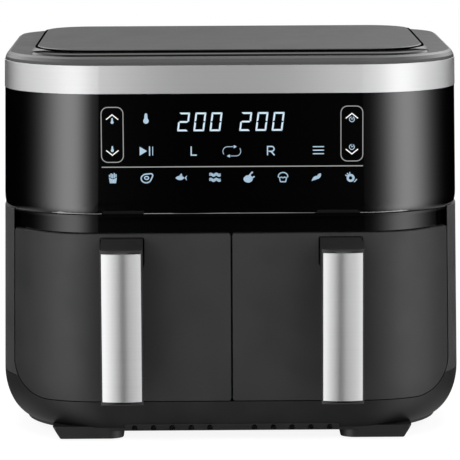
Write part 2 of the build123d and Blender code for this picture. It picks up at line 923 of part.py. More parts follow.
# ---- Heater guard: slotted sheet that rests on the liner's ledges ----
guard_slots = int((cavity_depth - guard_border) / guard_slot_pitch)
with BuildPart() as heater_guard:
    with BuildSketch(Plane.XY.offset(guard_low)):
        liner_outline(cavity_wall + fit_gap)
        with Locations((lane_centre, fan_y)):
            with GridLocations(cavity_width / 2 - 8, guard_slot_pitch, 2, guard_slots):
                Rectangle(cavity_width / 2 - 18, guard_slot_width, mode=Mode.SUBTRACT)
    extrude(amount=guard_thickness)
save_pair(heater_guard.part, "heater_guard")

# ---- Ceiling plate of the cavity ----
lead_y = fan_y + heater_loop / 2
with BuildPart() as ceiling_plate:
    with BuildSketch(Plane.XY.offset(cavity_high)):
        liner_outline()
    extrude(amount=ceiling_thickness)
    upright(lane_centre, fan_y, cavity_high - 1, ceiling_top + 1, shaft_radius + 3, mode=Mode.SUBTRACT)
    for side in (-1, 1):
        upright(
            lane_centre + side * heater_lead_spacing / 2,
            lead_y,
            cavity_high - 1,
            ceiling_top + 1,
            heater_radius + 0.6,
            mode=Mode.SUBTRACT,
        )
    upright(
        lane_centre - sensor_offset,
        fan_y - hot_fan_radius - 12,
        cavity_high - 1,
        ceiling_top + 1,
        sensor_radius + fit_gap,
        mode=Mode.SUBTRACT,
    )
save_pair(ceiling_plate.part, "ceiling_plate")

# ---- Tubular heating element with ceramic bushings on the ceiling plate ----
heater_level = cavity_high - heater_drop
half_loop = heater_loop / 2
lead = heater_lead_spacing / 2
heater_top = ceiling_top + heater_terminal_height
with BuildPart() as heating_element:
    with BuildLine() as heater_path:
        FilletPolyline(
            (lane_centre - lead, lead_y, heater_top),
            (lane_centre - lead, lead_y, heater_level),
            (lane_centre - half_loop, lead_y, heater_level),
            (lane_centre - half_loop, fan_y - half_loop, heater_level),
            (lane_centre + half_loop, fan_y - half_loop, heater_level),
            (lane_centre + half_loop, lead_y, heater_level),
            (lane_centre + lead, lead_y, heater_level),
            (lane_centre + lead, lead_y, heater_top),
            radius=heater_bend,
        )
    with BuildSketch(Plane.XY.offset(heater_top)):
        with Locations((lane_centre - lead, lead_y)):
            Circle(heater_radius)
    sweep(path=heater_path.line)
    for side in (-1, 1):
        upright(lane_centre + side * lead, lead_y, ceiling_top, ceiling_top + bushing_height, bushing_radius)
save_pair(heating_element.part, "heating_element")

# ---- Temperature sensor through the ceiling plate ----
with BuildPart() as temperature_sensor:
    sensor_y = fan_y - hot_fan_radius - 12
    upright(
        lane_centre - sensor_offset, sensor_y, ceiling_top - sensor_length, ceiling_top + 6, sensor_radius
    )
    upright(lane_centre - sensor_offset, sensor_y, ceiling_top, ceiling_top + 3, sensor_radius + 2.5)
save_pair(temperature_sensor.part, "temperature_sensor")

# ---- Fan: steel impeller, shaft through the motor and plastic cooling fan above it ----
with BuildPart() as hot_fan:
    with BuildSketch(Plane.XY.offset(hot_fan_top - hot_fan_sheet)):
        with Locations((lane_centre, fan_y)):
            Circle(hot_fan_radius)
    extrude(amount=hot_fan_sheet)
    with Locations((lane_centre, fan_y, hot_fan_top - hot_fan_sheet - hot_fan_blade_height / 2)):
        with PolarLocations(hot_fan_radius - 17, hot_fan_blades):
            Box(30, hot_fan_sheet, hot_fan_blade_height)
    upright(lane_centre, fan_y, hot_fan_top - 9, hot_fan_top, shaft_radius + 3)
    upright(lane_centre, fan_y, hot_fan_top - 20, hot_fan_top + 10, shaft_radius, mode=Mode.SUBTRACT)
with BuildPart() as fan_shaft:
    upright(lane_centre, fan_y, hot_fan_top - 12, shaft_top, shaft_radius)
cooling_low = motor_top + motor_cap_height + cooling_fan_gap
with BuildPart() as cooling_fan:
    upright(lane_centre, fan_y, cooling_low, cooling_low + cooling_fan_height, cooling_hub_radius)
    with Locations((lane_centre, fan_y, cooling_low + cooling_fan_height / 2)):
        with PolarLocations((cooling_hub_radius + cooling_fan_radius) / 2 - 1, cooling_fan_blades):
            Box(cooling_fan_radius - cooling_hub_radius + 2, 1.6, cooling_fan_height)
    with BuildSketch(Plane.XY.offset(cooling_low)):
        with Locations((lane_centre, fan_y)):
            Circle(cooling_fan_radius)
    extrude(amount=1.5)
    upright(lane_centre, fan_y, cooling_low - 1, shaft_top + 1, shaft_radius, mode=Mode.SUBTRACT)
save_twice(hot_fan.part, "hot_fan")
save_twice(fan_shaft.part, "fan_shaft")
save_twice(cooling_fan.part, "cooling_fan")

# ---- Motor on its bracket ----
with BuildPart() as motor_bracket:
    with Locations((lane_centre, fan_y, bracket_top - bracket_plate / 2)):
        Box(bracket_size, bracket_size, bracket_plate)
    with Locations((lane_centre, fan_y, (ceiling_top + bracket_top - bracket_plate) / 2)):
        with GridLocations(bracket_size - bracket_leg, bracket_size - bracket_leg, 2, 2):
            Box(bracket_leg, bracket_leg, bracket_height - bracket_plate)
    upright(lane_centre, fan_y, ceiling_top, bracket_top + 1, shaft_radius + 5, mode=Mode.SUBTRACT)
save_twice(motor_bracket.part, "motor_bracket")

with BuildPart() as motor:
    upright(lane_centre, fan_y, bracket_top, motor_top, motor_radius)
    fillet(motor.edges().group_by(Axis.Z)[-1], 4)
    upright(lane_centre, fan_y, motor_top, motor_top + motor_cap_height, motor_cap_radius)
    with Locations((lane_centre, fan_y, (bracket_top + motor_top) / 2)):
        Box(2 * motor_radius + 2 * lug_reach, lug_width, motor_height - 12)
        Box(lug_width, 2 * motor_radius + 2 * lug_reach, motor_height - 12)
    upright(
        lane_centre,
        fan_y,
        bracket_top - 1,
        motor_top + motor_cap_height + 1,
        shaft_radius + shaft_clearance,
        mode=Mode.SUBTRACT,
    )
save_twice(motor.part, "motor")

# ---- Power board on its tray between the motors ----
tray_low = ceiling_top + tray_leg_height
tray_top = tray_low + tray_plate
tray_middle = cavity_front + tray_back + tray_depth / 2
with BuildPart() as board_tray:
    with Locations((0, tray_middle, tray_low + tray_plate / 2)):
        Box(tray_width, tray_depth, tray_plate)
    with Locations((0, tray_middle, ceiling_top + tray_leg_height / 2)):
        with GridLocations(tray_width - tray_leg, tray_depth - tray_leg, 2, 2):
            Box(tray_leg, tray_leg, tray_leg_height)
    with Locations((0, tray_middle, tray_top + board_standoff / 2)):
        with GridLocations(tray_width - 14, tray_depth - 14, 2, 2):
            Cylinder(boss_radius, board_standoff)
save(board_tray.part, "board_tray")

board_low = tray_top + board_standoff
with BuildPart() as power_board:
    with Locations((0, tray_middle, board_low + board_thickness / 2)):
        Box(tray_width - 2 * board_inset, tray_depth - 2 * board_inset, board_thickness)
    board_top = board_low + board_thickness
    parts_side = tray_width / 2 - board_inset - component_margin
    parts_front = tray_middle - tray_depth / 2 + board_inset + component_margin
    parts_rear = tray_middle + tray_depth / 2 - board_inset - component_margin
    for relay_left in (-parts_side, -parts_side + relay_width + component_margin):
        block(
            (relay_left, relay_left + relay_width),
            (parts_front, parts_front + relay_depth),
            (board_top, board_top + relay_height),
        )
    block(
        (parts_side - transformer_width, parts_side),
        (parts_front, parts_front + transformer_depth),
        (board_top, board_top + transformer_height),
    )
    block(
        (-parts_side, -parts_side + heat_sink_width),
        (parts_rear - heat_sink_depth, parts_rear),
        (board_top, board_top + heat_sink_height),
    )
    upright(
        parts_side - 2 * tall_capacitor_radius,
        tray_middle + 2 * tall_capacitor_radius,
        board_top,
        board_top + tall_capacitor_height,
        tall_capacitor_radius,
    )
    upright(
        -parts_side + 2 * low_capacitor_radius,
        tray_middle,
        board_top,
        board_top + low_capacitor_height,
        low_capacitor_radius,
    )
save(power_board.part, "power_board")

# ---- Drawer sensors: reed switches under the brow shelf and magnets in the drawer fronts ----
sensor_x = lane_centre + reed_offset
reed_y = brow_back + front_surface(sensor_x + reed_width / 2, brow_low) + reed_back_gap
with BuildPart() as drawer_sensor:
    block(
        (sensor_x - reed_width / 2, sensor_x + reed_width / 2),
        (reed_y, reed_y + reed_depth),
        (brow_low + brow_shelf, brow_low + brow_shelf + reed_height),
    )
save_pair(drawer_sensor.part, "drawer_sensor")

# ---- Drawer front, wrapped round the housing corner and hollow behind ----
front_form = housing_form(drawer_low - 2, drawer_high + 2)
front_form_inner = housing_form(drawer_low - 2, drawer_high + 2, front_wall)
front_form_back = housing_form(drawer_low - 2, drawer_high + 2, front_skirt_depth)
with BuildPart() as front_hollow:
    with BuildSketch(Plane.XZ.offset(1)):
        drawer_outline(-front_skirt_wall)
    extrude(amount=-(front_side_depth + 20))
    add(front_form_inner, mode=Mode.INTERSECT)
with BuildPart() as drawer_front:
    add(front_form)
    block(
        (front_gap, body_width / 2 + 1),
        (-1, front_side_depth),
        (drawer_low, drawer_high),
        mode=Mode.INTERSECT,
    )
    add(front_form_back, mode=Mode.SUBTRACT)
    with BuildSketch(Plane.XZ.offset(1)):
        drawer_outline()
    extrude(amount=-(front_side_depth + 5), mode=Mode.INTERSECT)
    add(front_hollow.part, mode=Mode.SUBTRACT)
    for x in (lane_centre - 55, lane_centre + 55):
        for z in (drawer_low + 28, arm_low - 6):
            start = front_surface(x, z) + front_wall - 0.5
            with BuildSketch(Plane.XZ.offset(-start)):
                with Locations((x, z)):
                    Circle(boss_radius)
            extrude(amount=-(pan_front - start))
    with BuildSketch(Plane.XZ.offset(5)):
        with Locations((lane_centre, arm_high - arm_height / 2)):
            RectangleRounded(handle_width + 2 * arm_hole_gap, arm_height + arm_hole_gap, 2)
    extrude(amount=-(front_skirt_depth + 6), mode=Mode.SUBTRACT)
save_pair(drawer_front.part, "drawer_front")

with BuildPart() as drawer_magnet:
    magnet_high = drawer_high - front_skirt_wall - 0.1
    magnet_y = front_surface(sensor_x, magnet_high) + front_wall + 2.5
    block(
        (sensor_x - magnet_width / 2, sensor_x + magnet_width / 2),
        (magnet_y, magnet_y + magnet_depth),
        (magnet_high - magnet_height, magnet_high),
    )
save_pair(drawer_magnet.part, "drawer_magnet")

# ---- Drawer pan: drawn sheet with a tapered wall, a round floor corner and a rolled-out flange ----
def pan_form(inset):
    """Solid of the drawn pan's outside, pulled in by an inset."""
    with BuildPart() as form:
        with BuildSketch(Plane.XY.offset(pan_high)):
            with Locations((lane_centre, pan_middle)):
                RectangleRounded(pan_width - 2 * inset, pan_length - 2 * inset, pan_corner_radius - inset)
        extrude(amount=-(pan_height - inset), taper=pan_draft)
        fillet(form.edges().group_by(Axis.Z)[0], pan_floor_radius - inset)
    return form.part


pan_outer = pan_form(0)
pan_inner = pan_form(pan_wall)
with BuildPart() as drawer_pan:
    add(pan_outer)
    with BuildSketch(Plane.XY.offset(pan_high - pan_wall)):
        with Locations((lane_centre, pan_middle)):
            RectangleRounded(pan_width + 2 * pan_flange, pan_length, pan_corner_radius)
    extrude(amount=pan_wall)
    add(pan_inner, mode=Mode.SUBTRACT)
save_pair(drawer_pan.part, "drawer_pan")

# ---- Crisper plate on its silicone bumpers ----
crisper_low = pan_low + pan_wall + crisper_lift
pan_taper = (pan_high - crisper_low) * tan(radians(pan_draft))
crisper_width = pan_width - 2 * (pan_wall + pan_taper + crisper_margin)
crisper_length = pan_length - 2 * (pan_wall + pan_taper + crisper_margin)
bumper_x = crisper_width / 2 - 14
bumper_y = crisper_length / 2 - 14
slot_columns = int((pan_width - slot_margin_x) / slot_pitch_x)
slot_rows = int((pan_length - slot_margin_y) / slot_pitch_y)
with BuildPart() as crisper_plate:
    with BuildSketch(Plane.XY.offset(crisper_low)):
        with Locations((lane_centre, pan_middle)):
            RectangleRounded(crisper_width, crisper_length, pan_corner_radius - 4)
            with GridLocations(slot_pitch_x, slot_pitch_y, slot_columns, slot_rows):
                Rectangle(slot_length, slot_width, mode=Mode.SUBTRACT)
    extrude(amount=crisper_thickness)
    with BuildSketch(Plane.XY.offset(crisper_low)):
        with Locations((lane_centre, pan_middle)):
            Circle(finger_hole_radius + 5)
    extrude(amount=crisper_thickness)
    with BuildSketch(Plane.XY.offset(crisper_low - 1)):
        with Locations((lane_centre, pan_middle)):
            Circle(finger_hole_radius)
    extrude(amount=crisper_thickness + 2, mode=Mode.SUBTRACT)
save_pair(crisper_plate.part, "crisper_plate")
with BuildPart() as plate_bumpers:
    with Locations((lane_centre, pan_middle, crisper_low - (crisper_lift - fit_gap) / 2)):
        with GridLocations(2 * bumper_x, 2 * bumper_y, 2, 2):
            Cylinder(bumper_radius, crisper_lift - fit_gap)
save_pair(plate_bumpers.part, "plate_bumpers")


# ---- Handle: black arm and grip with a convex steel cover ----
crown_radius = ((handle_width / 2) ** 2 + grip_crown**2) / (2 * grip_crown)


def crown_drop(half):
    """How far the bulging front of the grip falls back at a distance from its middle."""
    return crown_radius - sqrt(crown_radius**2 - half**2)


def crowned_section(front, width, back, mode=Mode.ADD):
    """Face between the grip's bulging front, at a given crown line, and a straight back line."""
    half = width / 2
    edge = front + crown_drop(half)
    with BuildLine() as outline:
        ThreePointArc((lane_centre - half, edge), (lane_centre, front), (lane_centre + half, edge))
        Polyline(
            (lane_centre + half, edge),
            (lane_centre + half, back),
            (lane_centre - half, back),
            (lane_centre - half, edge),
        )
    make_face(outline.edges(), mode=mode)


grip_back = -handle_reach + grip_thickness
grip_high = arm_high - arm_slope
cover_seat = -handle_reach + cover_thickness - cover_proud
with BuildPart() as cover_recess:
    with BuildSketch(Plane.XY.offset(cover_low - cover_gap)):
        crowned_section(-handle_reach - 10, cover_width + 2 * cover_gap, grip_back)
        crowned_section(cover_seat, cover_width + 2, grip_back + 1, Mode.SUBTRACT)
    extrude(amount=cover_height + 2 * cover_gap)
with BuildPart() as handle_body:
    with BuildSketch(Plane.YZ.offset(lane_centre - handle_width / 2)):
        with BuildLine():
            FilletPolyline(
                (pan_front, arm_high),
                (0, arm_high),
                (-handle_reach, grip_high),
                (-handle_reach, grip_low),
                (grip_back, grip_low),
                (grip_back, arm_low),
                (pan_front, arm_low),
                radius=(0, 0, 4, 3, 3, 8, 0),
                close=True,
            )
        make_face()
    extrude(amount=handle_width)
    with BuildSketch(Plane.XY.offset(grip_low - 1)):
        crowned_section(-handle_reach, handle_width, pan_front)
    extrude(amount=arm_high - grip_low + 2, mode=Mode.INTERSECT)
    add(cover_recess.part, mode=Mode.SUBTRACT)
save_pair(handle_body.part, "handle_body")

with BuildPart() as handle_cover:
    with BuildSketch(Plane.XY.offset(cover_low)):
        crowned_section(-handle_reach - cover_proud, cover_width, grip_back)
        crowned_section(cover_seat, cover_width + 2, grip_back + 1, Mode.SUBTRACT)
    extrude(amount=cover_height)
save_pair(handle_cover.part, "handle_cover")
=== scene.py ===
from math import atan2, cos, pi, radians, sin

import bmesh
import bpy
from mathutils import Matrix, Vector


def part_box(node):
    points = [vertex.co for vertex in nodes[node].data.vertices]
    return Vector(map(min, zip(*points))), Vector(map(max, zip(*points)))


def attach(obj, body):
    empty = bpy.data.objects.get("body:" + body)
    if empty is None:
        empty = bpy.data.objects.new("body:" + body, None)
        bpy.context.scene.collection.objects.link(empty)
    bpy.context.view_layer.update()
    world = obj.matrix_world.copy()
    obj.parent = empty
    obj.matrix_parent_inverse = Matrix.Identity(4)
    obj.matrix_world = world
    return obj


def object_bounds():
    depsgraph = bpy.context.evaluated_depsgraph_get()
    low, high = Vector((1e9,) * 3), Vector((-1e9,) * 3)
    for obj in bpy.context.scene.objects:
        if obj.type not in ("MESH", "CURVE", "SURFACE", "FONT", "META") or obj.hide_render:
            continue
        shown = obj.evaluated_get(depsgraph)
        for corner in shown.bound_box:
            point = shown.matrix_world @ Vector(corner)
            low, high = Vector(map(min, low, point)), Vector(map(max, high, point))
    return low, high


# Looks of the two-drawer air fryer. Metres in the part's own frame: +X to the user's right, -Y towards
# the user and +Z up. Sizes in millimetres are multiplied by MM.
MM = 0.001

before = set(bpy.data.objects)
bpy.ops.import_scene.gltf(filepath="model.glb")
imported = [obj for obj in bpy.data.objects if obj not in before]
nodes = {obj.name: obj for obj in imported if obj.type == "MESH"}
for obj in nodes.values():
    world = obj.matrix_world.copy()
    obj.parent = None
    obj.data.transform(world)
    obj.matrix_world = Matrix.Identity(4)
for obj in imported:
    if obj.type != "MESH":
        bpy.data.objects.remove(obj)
cad_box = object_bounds()

fascia_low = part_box("control_fascia")[0]
front_y = fascia_low.y  # plane of the housing's front


# ---- Node helpers ----
class Finish:
    """A node material under construction, with short calls for the nodes that this script uses."""

    def __init__(self, name):
        self.material = bpy.data.materials.new(name)
        self.material.use_nodes = True
        self.tree = self.material.node_tree
        self.shader = self.tree.nodes["Principled BSDF"]
        self.coordinates = self.tree.nodes.new("ShaderNodeTexCoord").outputs["Object"]

    def node(self, kind, **settings):
        made = self.tree.nodes.new(kind)
        for key, value in settings.items():
            setattr(made, key, value)
        return made

    def link(self, source, target):
        self.tree.links.new(source, target)

    def set(self, **values):
        """Plain values on the shader's own sockets, such as base_color=(r, g, b)."""
        for key, value in values.items():
            socket = self.shader.inputs[key.replace("_", " ").title().replace("Ior", "IOR")]
            if isinstance(value, tuple) and len(value) == 3:
                value = (*value, 1.0)
            socket.default_value = value
        return self

    def stretched(self, scale):
        """Object coordinates scaled along each axis."""
        mapping = self.node("ShaderNodeMapping")
        self.link(self.coordinates, mapping.inputs["Vector"])
        mapping.inputs["Scale"].default_value = scale
        return mapping.outputs["Vector"]

    def noise(self, scale, detail=3.0, roughness=0.5, vector=None):
        texture = self.node("ShaderNodeTexNoise")
        texture.inputs["Scale"].default_value = scale
        texture.inputs["Detail"].default_value = detail
        texture.inputs["Roughness"].default_value = roughness
        self.link(vector or self.coordinates, texture.inputs["Vector"])
        return texture.outputs["Fac"]

    def cells(self, scale, output="Distance", vector=None, **settings):
        texture = self.node("ShaderNodeTexVoronoi", **settings)
        texture.inputs["Scale"].default_value = scale
        self.link(vector or self.coordinates, texture.inputs["Vector"])
        return texture.outputs[output]

    def spread(self, source, low, high, from_low=0.3, from_high=0.7):
        """Map a texture's value to a range."""
        mapped = self.node("ShaderNodeMapRange")
        for socket, value in zip(("From Min", "From Max", "To Min", "To Max"), (from_low, from_high, low, high)):
            mapped.inputs[socket].default_value = value
        self.link(source, mapped.inputs["Value"])
        return mapped.outputs["Result"]

    def blend(self, share, first, second):
        """Mix of two colours by a texture's value."""
        mix = self.node("ShaderNodeMix", data_type="RGBA")
        self.link(share, mix.inputs["Factor"])
        for socket, value in ((mix.inputs[6], first), (mix.inputs[7], second)):
            if isinstance(value, tuple):
                socket.default_value = (*value, 1.0)
            else:
                self.link(value, socket)
        return mix.outputs[2]

    def bump(self, height, distance, strength=1.0):
        relief = self.node("ShaderNodeBump")
        relief.inputs["Distance"].default_value = distance
        relief.inputs["Strength"].default_value = strength
        self.link(height, relief.inputs["Height"])
        if self.shader.inputs["Normal"].links:
            self.link(self.shader.inputs["Normal"].links[0].from_socket, relief.inputs["Normal"])
        self.link(relief.outputs["Normal"], self.shader.inputs["Normal"])

    def drive(self, socket, source):
        self.link(source, self.shader.inputs[socket])


def moulded(name, color, roughness=0.5, grain=0.02, level=0.5):
    """Fine-grained moulded plastic: even colour, faint cloudiness and a spark-eroded texture."""
    finish = Finish(name).set(specular_ior_level=level)
    tone = finish.noise(9.0, detail=2.0)
    darker = tuple(c * 0.9 for c in color)
    finish.drive("Base Color", finish.blend(finish.spread(tone, 0.0, 1.0), color, darker))
    finish.drive("Roughness", finish.spread(finish.noise(38.0), roughness - 0.04, roughness + 0.04))
    finish.bump(finish.noise(2600.0, detail=2.0), grain * MM, 0.5)
    return finish.material


def polished(name, color, roughness=0.05, level=0.5, wave=0.02):
    """High-gloss plastic with the faint haze and slight waviness of a large moulding."""
    finish = Finish(name).set(base_color=color, specular_ior_level=level)
    haze = finish.noise(30.0, detail=4.0)
    finish.drive("Roughness", finish.spread(haze, roughness * 0.95, roughness * 1.06))
    finish.bump(finish.noise(22.0, detail=1.0), wave * MM, 0.4)
    return finish.material


def brushed(name, color, roughness, stretch, aniso=0.6, axis=None, bow=0.0):
    """Brushed steel: fine streaks in colour, roughness and relief, and a slight bow of the sheet's middle."""
    finish = Finish(name).set(metallic=1.0, anisotropic=aniso, anisotropic_rotation=0.25)
    fine = finish.noise(1.0, detail=5.0, roughness=0.65, vector=finish.stretched(stretch))
    dark = tuple(c * 0.93 for c in color)
    light = tuple(min(1.0, c * 1.05) for c in color)
    finish.drive("Base Color", finish.blend(finish.spread(fine, 0.0, 1.0, 0.25, 0.75), dark, light))
    finish.drive("Roughness", finish.spread(fine, roughness - 0.03, roughness + 0.03))
    finish.bump(fine, 0.004 * MM, 0.3)
    if bow:
        split = finish.node("ShaderNodeSeparateXYZ")
        finish.link(finish.coordinates, split.inputs["Vector"])
        distance = finish.node("ShaderNodeMath", operation="ABSOLUTE")
        finish.link(split.outputs["X"], distance.inputs[0])
        share = finish.node("ShaderNodeMath", operation="DIVIDE")
        finish.link(distance.outputs["Value"], share.inputs[0])
        share.inputs[1].default_value = cad_box[1].x
        fall = finish.node("ShaderNodeMath", operation="POWER")
        finish.link(share.outputs["Value"], fall.inputs[0])
        fall.inputs[1].default_value = 3.0
        low = finish.node("ShaderNodeMath", operation="MULTIPLY")
        finish.link(fall.outputs["Value"], low.inputs[0])
        low.inputs[1].default_value = -1.0
        finish.bump(low.outputs["Value"], bow * MM)
    if axis:
        tangent = finish.node("ShaderNodeTangent", direction_type="RADIAL", axis=axis)
        finish.link(tangent.outputs["Tangent"], finish.shader.inputs["Tangent"])
    return finish.material


def zinc_sheet(name):
    """Zinc-coated sheet with soft crystal patches."""
    finish = Finish(name).set(metallic=1.0)
    crystals = finish.cells(140.0, "Color")
    tone = finish.node("ShaderNodeSeparateColor")
    finish.link(crystals, tone.inputs["Color"])
    patch = finish.spread(tone.outputs["Red"], 0.0, 1.0, 0.0, 1.0)
    finish.drive("Base Color", finish.blend(patch, (0.42, 0.43, 0.44), (0.58, 0.59, 0.6)))
    finish.drive("Roughness", finish.spread(patch, 0.3, 0.46, 0.0, 1.0))
    finish.bump(finish.noise(60.0), 0.08 * MM, 0.3)
    return finish.material


def nonstick(name):
    """Dark non-stick coating with fine light specks."""
    finish = Finish(name).set(specular_ior_level=0.5, coat_weight=0.15, coat_roughness=0.3)
    specks = finish.cells(900.0)
    share = finish.spread(specks, 1.0, 0.0, 0.06, 0.16)
    finish.drive("Base Color", finish.blend(share, (0.022, 0.022, 0.023), (0.1, 0.1, 0.1)))
    finish.drive("Roughness", finish.spread(finish.noise(70.0), 0.34, 0.46))
    finish.bump(finish.noise(1400.0), 0.02 * MM, 0.5)
    return finish.material


def heated_steel(name, cool, hot, roughness):
    """Steel that heat has tinted in broad patches."""
    finish = Finish(name).set(metallic=1.0)
    tint = finish.noise(28.0, detail=5.0, roughness=0.6)
    finish.drive("Base Color", finish.blend(finish.spread(tint, 0.0, 1.0), cool, hot))
    finish.drive("Roughness", finish.spread(tint, roughness - 0.08, roughness + 0.1))
    finish.bump(finish.noise(900.0), 0.01 * MM, 0.5)
    return finish.material


def rubbery(name, color):
    """Soft matt silicone with a dusty bloom."""
    finish = Finish(name).set(specular_ior_level=0.3, sheen_weight=0.15, sheen_roughness=0.5)
    bloom = finish.noise(240.0, detail=4.0)
    paler = tuple(c * 1.5 for c in color)
    finish.drive("Base Color", finish.blend(finish.spread(bloom, 0.0, 1.0), color, paler))
    finish.drive("Roughness", finish.spread(bloom, 0.62, 0.8))
    finish.bump(finish.noise(1500.0), 0.02 * MM, 0.5)
    return finish.material


def circuit_board(name, top):
    """Green board with pale tracks below a height, and dark component bodies above it."""
    finish = Finish(name).set(specular_ior_level=0.5)
    tracks = finish.cells(300.0, feature="DISTANCE_TO_EDGE")
    copper = finish.spread(tracks, 1.0, 0.0, 0.04, 0.07)
    board = finish.blend(copper, (0.012, 0.1, 0.035), (0.05, 0.24, 0.09))
    parts = finish.blend(finish.spread(finish.noise(60.0), 0.0, 1.0), (0.02, 0.02, 0.022), (0.3, 0.26, 0.2))
    split = finish.node("ShaderNodeSeparateXYZ")
    finish.link(finish.coordinates, split.inputs["Vector"])
    above = finish.node("ShaderNodeMath", operation="GREATER_THAN")
    finish.link(split.outputs["Z"], above.inputs[0])
    above.inputs[1].default_value = top
    finish.drive("Base Color", finish.blend(above.outputs["Value"], board, parts))
    finish.drive("Roughness", finish.spread(finish.noise(120.0), 0.35, 0.5))
    return finish.material


def laminated(name):
    """Stack of motor laminations: fine dark and light layers."""
    finish = Finish(name).set(metallic=0.8)
    layers = finish.noise(1.0, detail=2.0, vector=finish.stretched((3.0, 3.0, 1400.0)))
    finish.drive("Base Color", finish.blend(finish.spread(layers, 0.0, 1.0), (0.1, 0.1, 0.11), (0.24, 0.24, 0.25)))
    finish.drive("Roughness", finish.spread(layers, 0.42, 0.58))
    finish.bump(layers, 0.08 * MM, 0.6)
    return finish.material


def glowing_mark(name, color, strength, rim):
    """Mark on the panel that glows by its own emission, slightly uneven like an LED behind a diffuser; on printed marks
    this glow is painted light standing in for the print as the lamps would light it.
    """
    finish = Finish(name).set(base_color=(0.02, 0.02, 0.02), roughness=0.35, emission_strength=strength)
    glow = finish.noise(900.0, detail=2.0)
    finish.drive("Emission Color", finish.blend(finish.spread(glow, 0.0, 1.0), color, rim))
    return finish.material


# ---- Materials of the CAD nodes ----
satin_black = moulded("satin_black", (0.0095, 0.0095, 0.0098), roughness=0.5, level=0.5)
tub_black = moulded("tub_black", (0.004, 0.004, 0.0042), roughness=0.46, level=0.4)
seal_black = moulded("seal_black", (0.001, 0.001, 0.001), roughness=0.9, level=0.0)
shell_black = moulded("shell_black", (0.012, 0.012, 0.0125), roughness=0.55, level=0.7)
grip_black = moulded("grip_black", (0.006, 0.006, 0.0063), roughness=0.36, level=0.35)
inner_black = moulded("inner_black", (0.03, 0.03, 0.031), roughness=0.55)
lid_grey = moulded("lid_grey", (0.024, 0.024, 0.0245), roughness=0.42, level=0.45)
panel_gloss = polished("panel_gloss", (0.0008, 0.0008, 0.0009), roughness=0.05, level=1.0)
brow_gloss = polished("brow_gloss", (0.0014, 0.0014, 0.0016), roughness=0.09, level=0.5)
plate_gloss = polished("plate_gloss", (0.014, 0.014, 0.0144), roughness=0.42, level=0.5, wave=0.001)
trim_gloss = polished("trim_gloss", (0.002, 0.002, 0.002), roughness=0.1, level=0.12, wave=0.002)
band_steel = brushed("band_steel", (0.6, 0.6, 0.605), 0.46, (5.0, 5.0, 5200.0), aniso=0.95, axis="Z", bow=15.0)
cover_steel = brushed("cover_steel", (0.55, 0.55, 0.555), 0.38, (9.0, 9.0, 5200.0), aniso=0.95, axis="Z")
bare_steel = brushed("bare_steel", (0.5, 0.5, 0.5), 0.34, (900.0, 900.0, 900.0), aniso=0.0)
fan_aluminium = brushed("fan_aluminium", (0.62, 0.62, 0.63), 0.34, (500.0, 500.0, 500.0), aniso=0.0)
zinc = zinc_sheet("zinc_sheet")
coating = nonstick("nonstick_coating")
guard_steel = heated_steel("guard_steel", (0.5, 0.5, 0.5), (0.42, 0.36, 0.28), 0.36)
element_steel = heated_steel("element_steel", (0.1, 0.1, 0.1), (0.19, 0.15, 0.12), 0.5)
silicone = rubbery("silicone", (0.016, 0.016, 0.016))
ceramic_white = moulded("heat_proof_white", (0.68, 0.68, 0.66), roughness=0.45)
motor_stack = laminated("motor_stack")
magnet_metal = heated_steel("magnet_metal", (0.5, 0.48, 0.45), (0.44, 0.42, 0.4), 0.3)

FINISHES = {
    "lower_tub": tub_black,
    "side_shell": shell_black,
    "base_plate": satin_black,
    "control_fascia": panel_gloss,
    "fascia_carrier": inner_black,
    "brow_strip": brow_gloss,
    "steel_band": band_steel,
    "top_rim": lid_grey,
    "top_plate": plate_gloss,
    "top_trim_strip": trim_gloss,
    "plate_seal": seal_black,
    "centre_divider": inner_black,
    "exhaust_grille": satin_black,
    "cord_gland": silicone,
    "foot_pads": silicone,
    "board_tray": inner_black,
    "power_board": circuit_board("power_board_green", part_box("power_board")[0].z + 1.7 * MM),
    "display_board": circuit_board("display_board_green", 1.0),
    "front_foot": tub_black,
    "rear_foot": tub_black,
    "cavity_liner": zinc,
    "heater_guard": guard_steel,
    "heating_element": element_steel,
    "ceiling_plate": zinc,
    "motor": motor_stack,
    "motor_bracket": zinc,
    "temperature_sensor": bare_steel,
    "drawer_sensor": ceramic_white,
    "exhaust_duct": zinc,
    "drawer_front": satin_black,
    "drawer_pan": coating,
    "handle_body": grip_black,
    "handle_cover": cover_steel,
    "drawer_magnet": magnet_metal,
    "crisper_plate": coating,
    "plate_bumpers": silicone,
    "hot_fan": fan_aluminium,
    "fan_shaft": bare_steel,
    "cooling_fan": inner_black,
}

for name, piece in nodes.items():
    kind = name.removeprefix("left_").removeprefix("right_")
    piece.data.materials.clear()
    piece.data.materials.append(FINISHES[kind])


# ---- Marks on the control panel, drawn in millimetres from the panel's centre line and lower edge ----
MARK_PROUD = 0.1
MARK_SUNK = 0.05
PRINT_X = 0.95  # the print's own middle, right of the panel's
PRINT_Z = -0.8


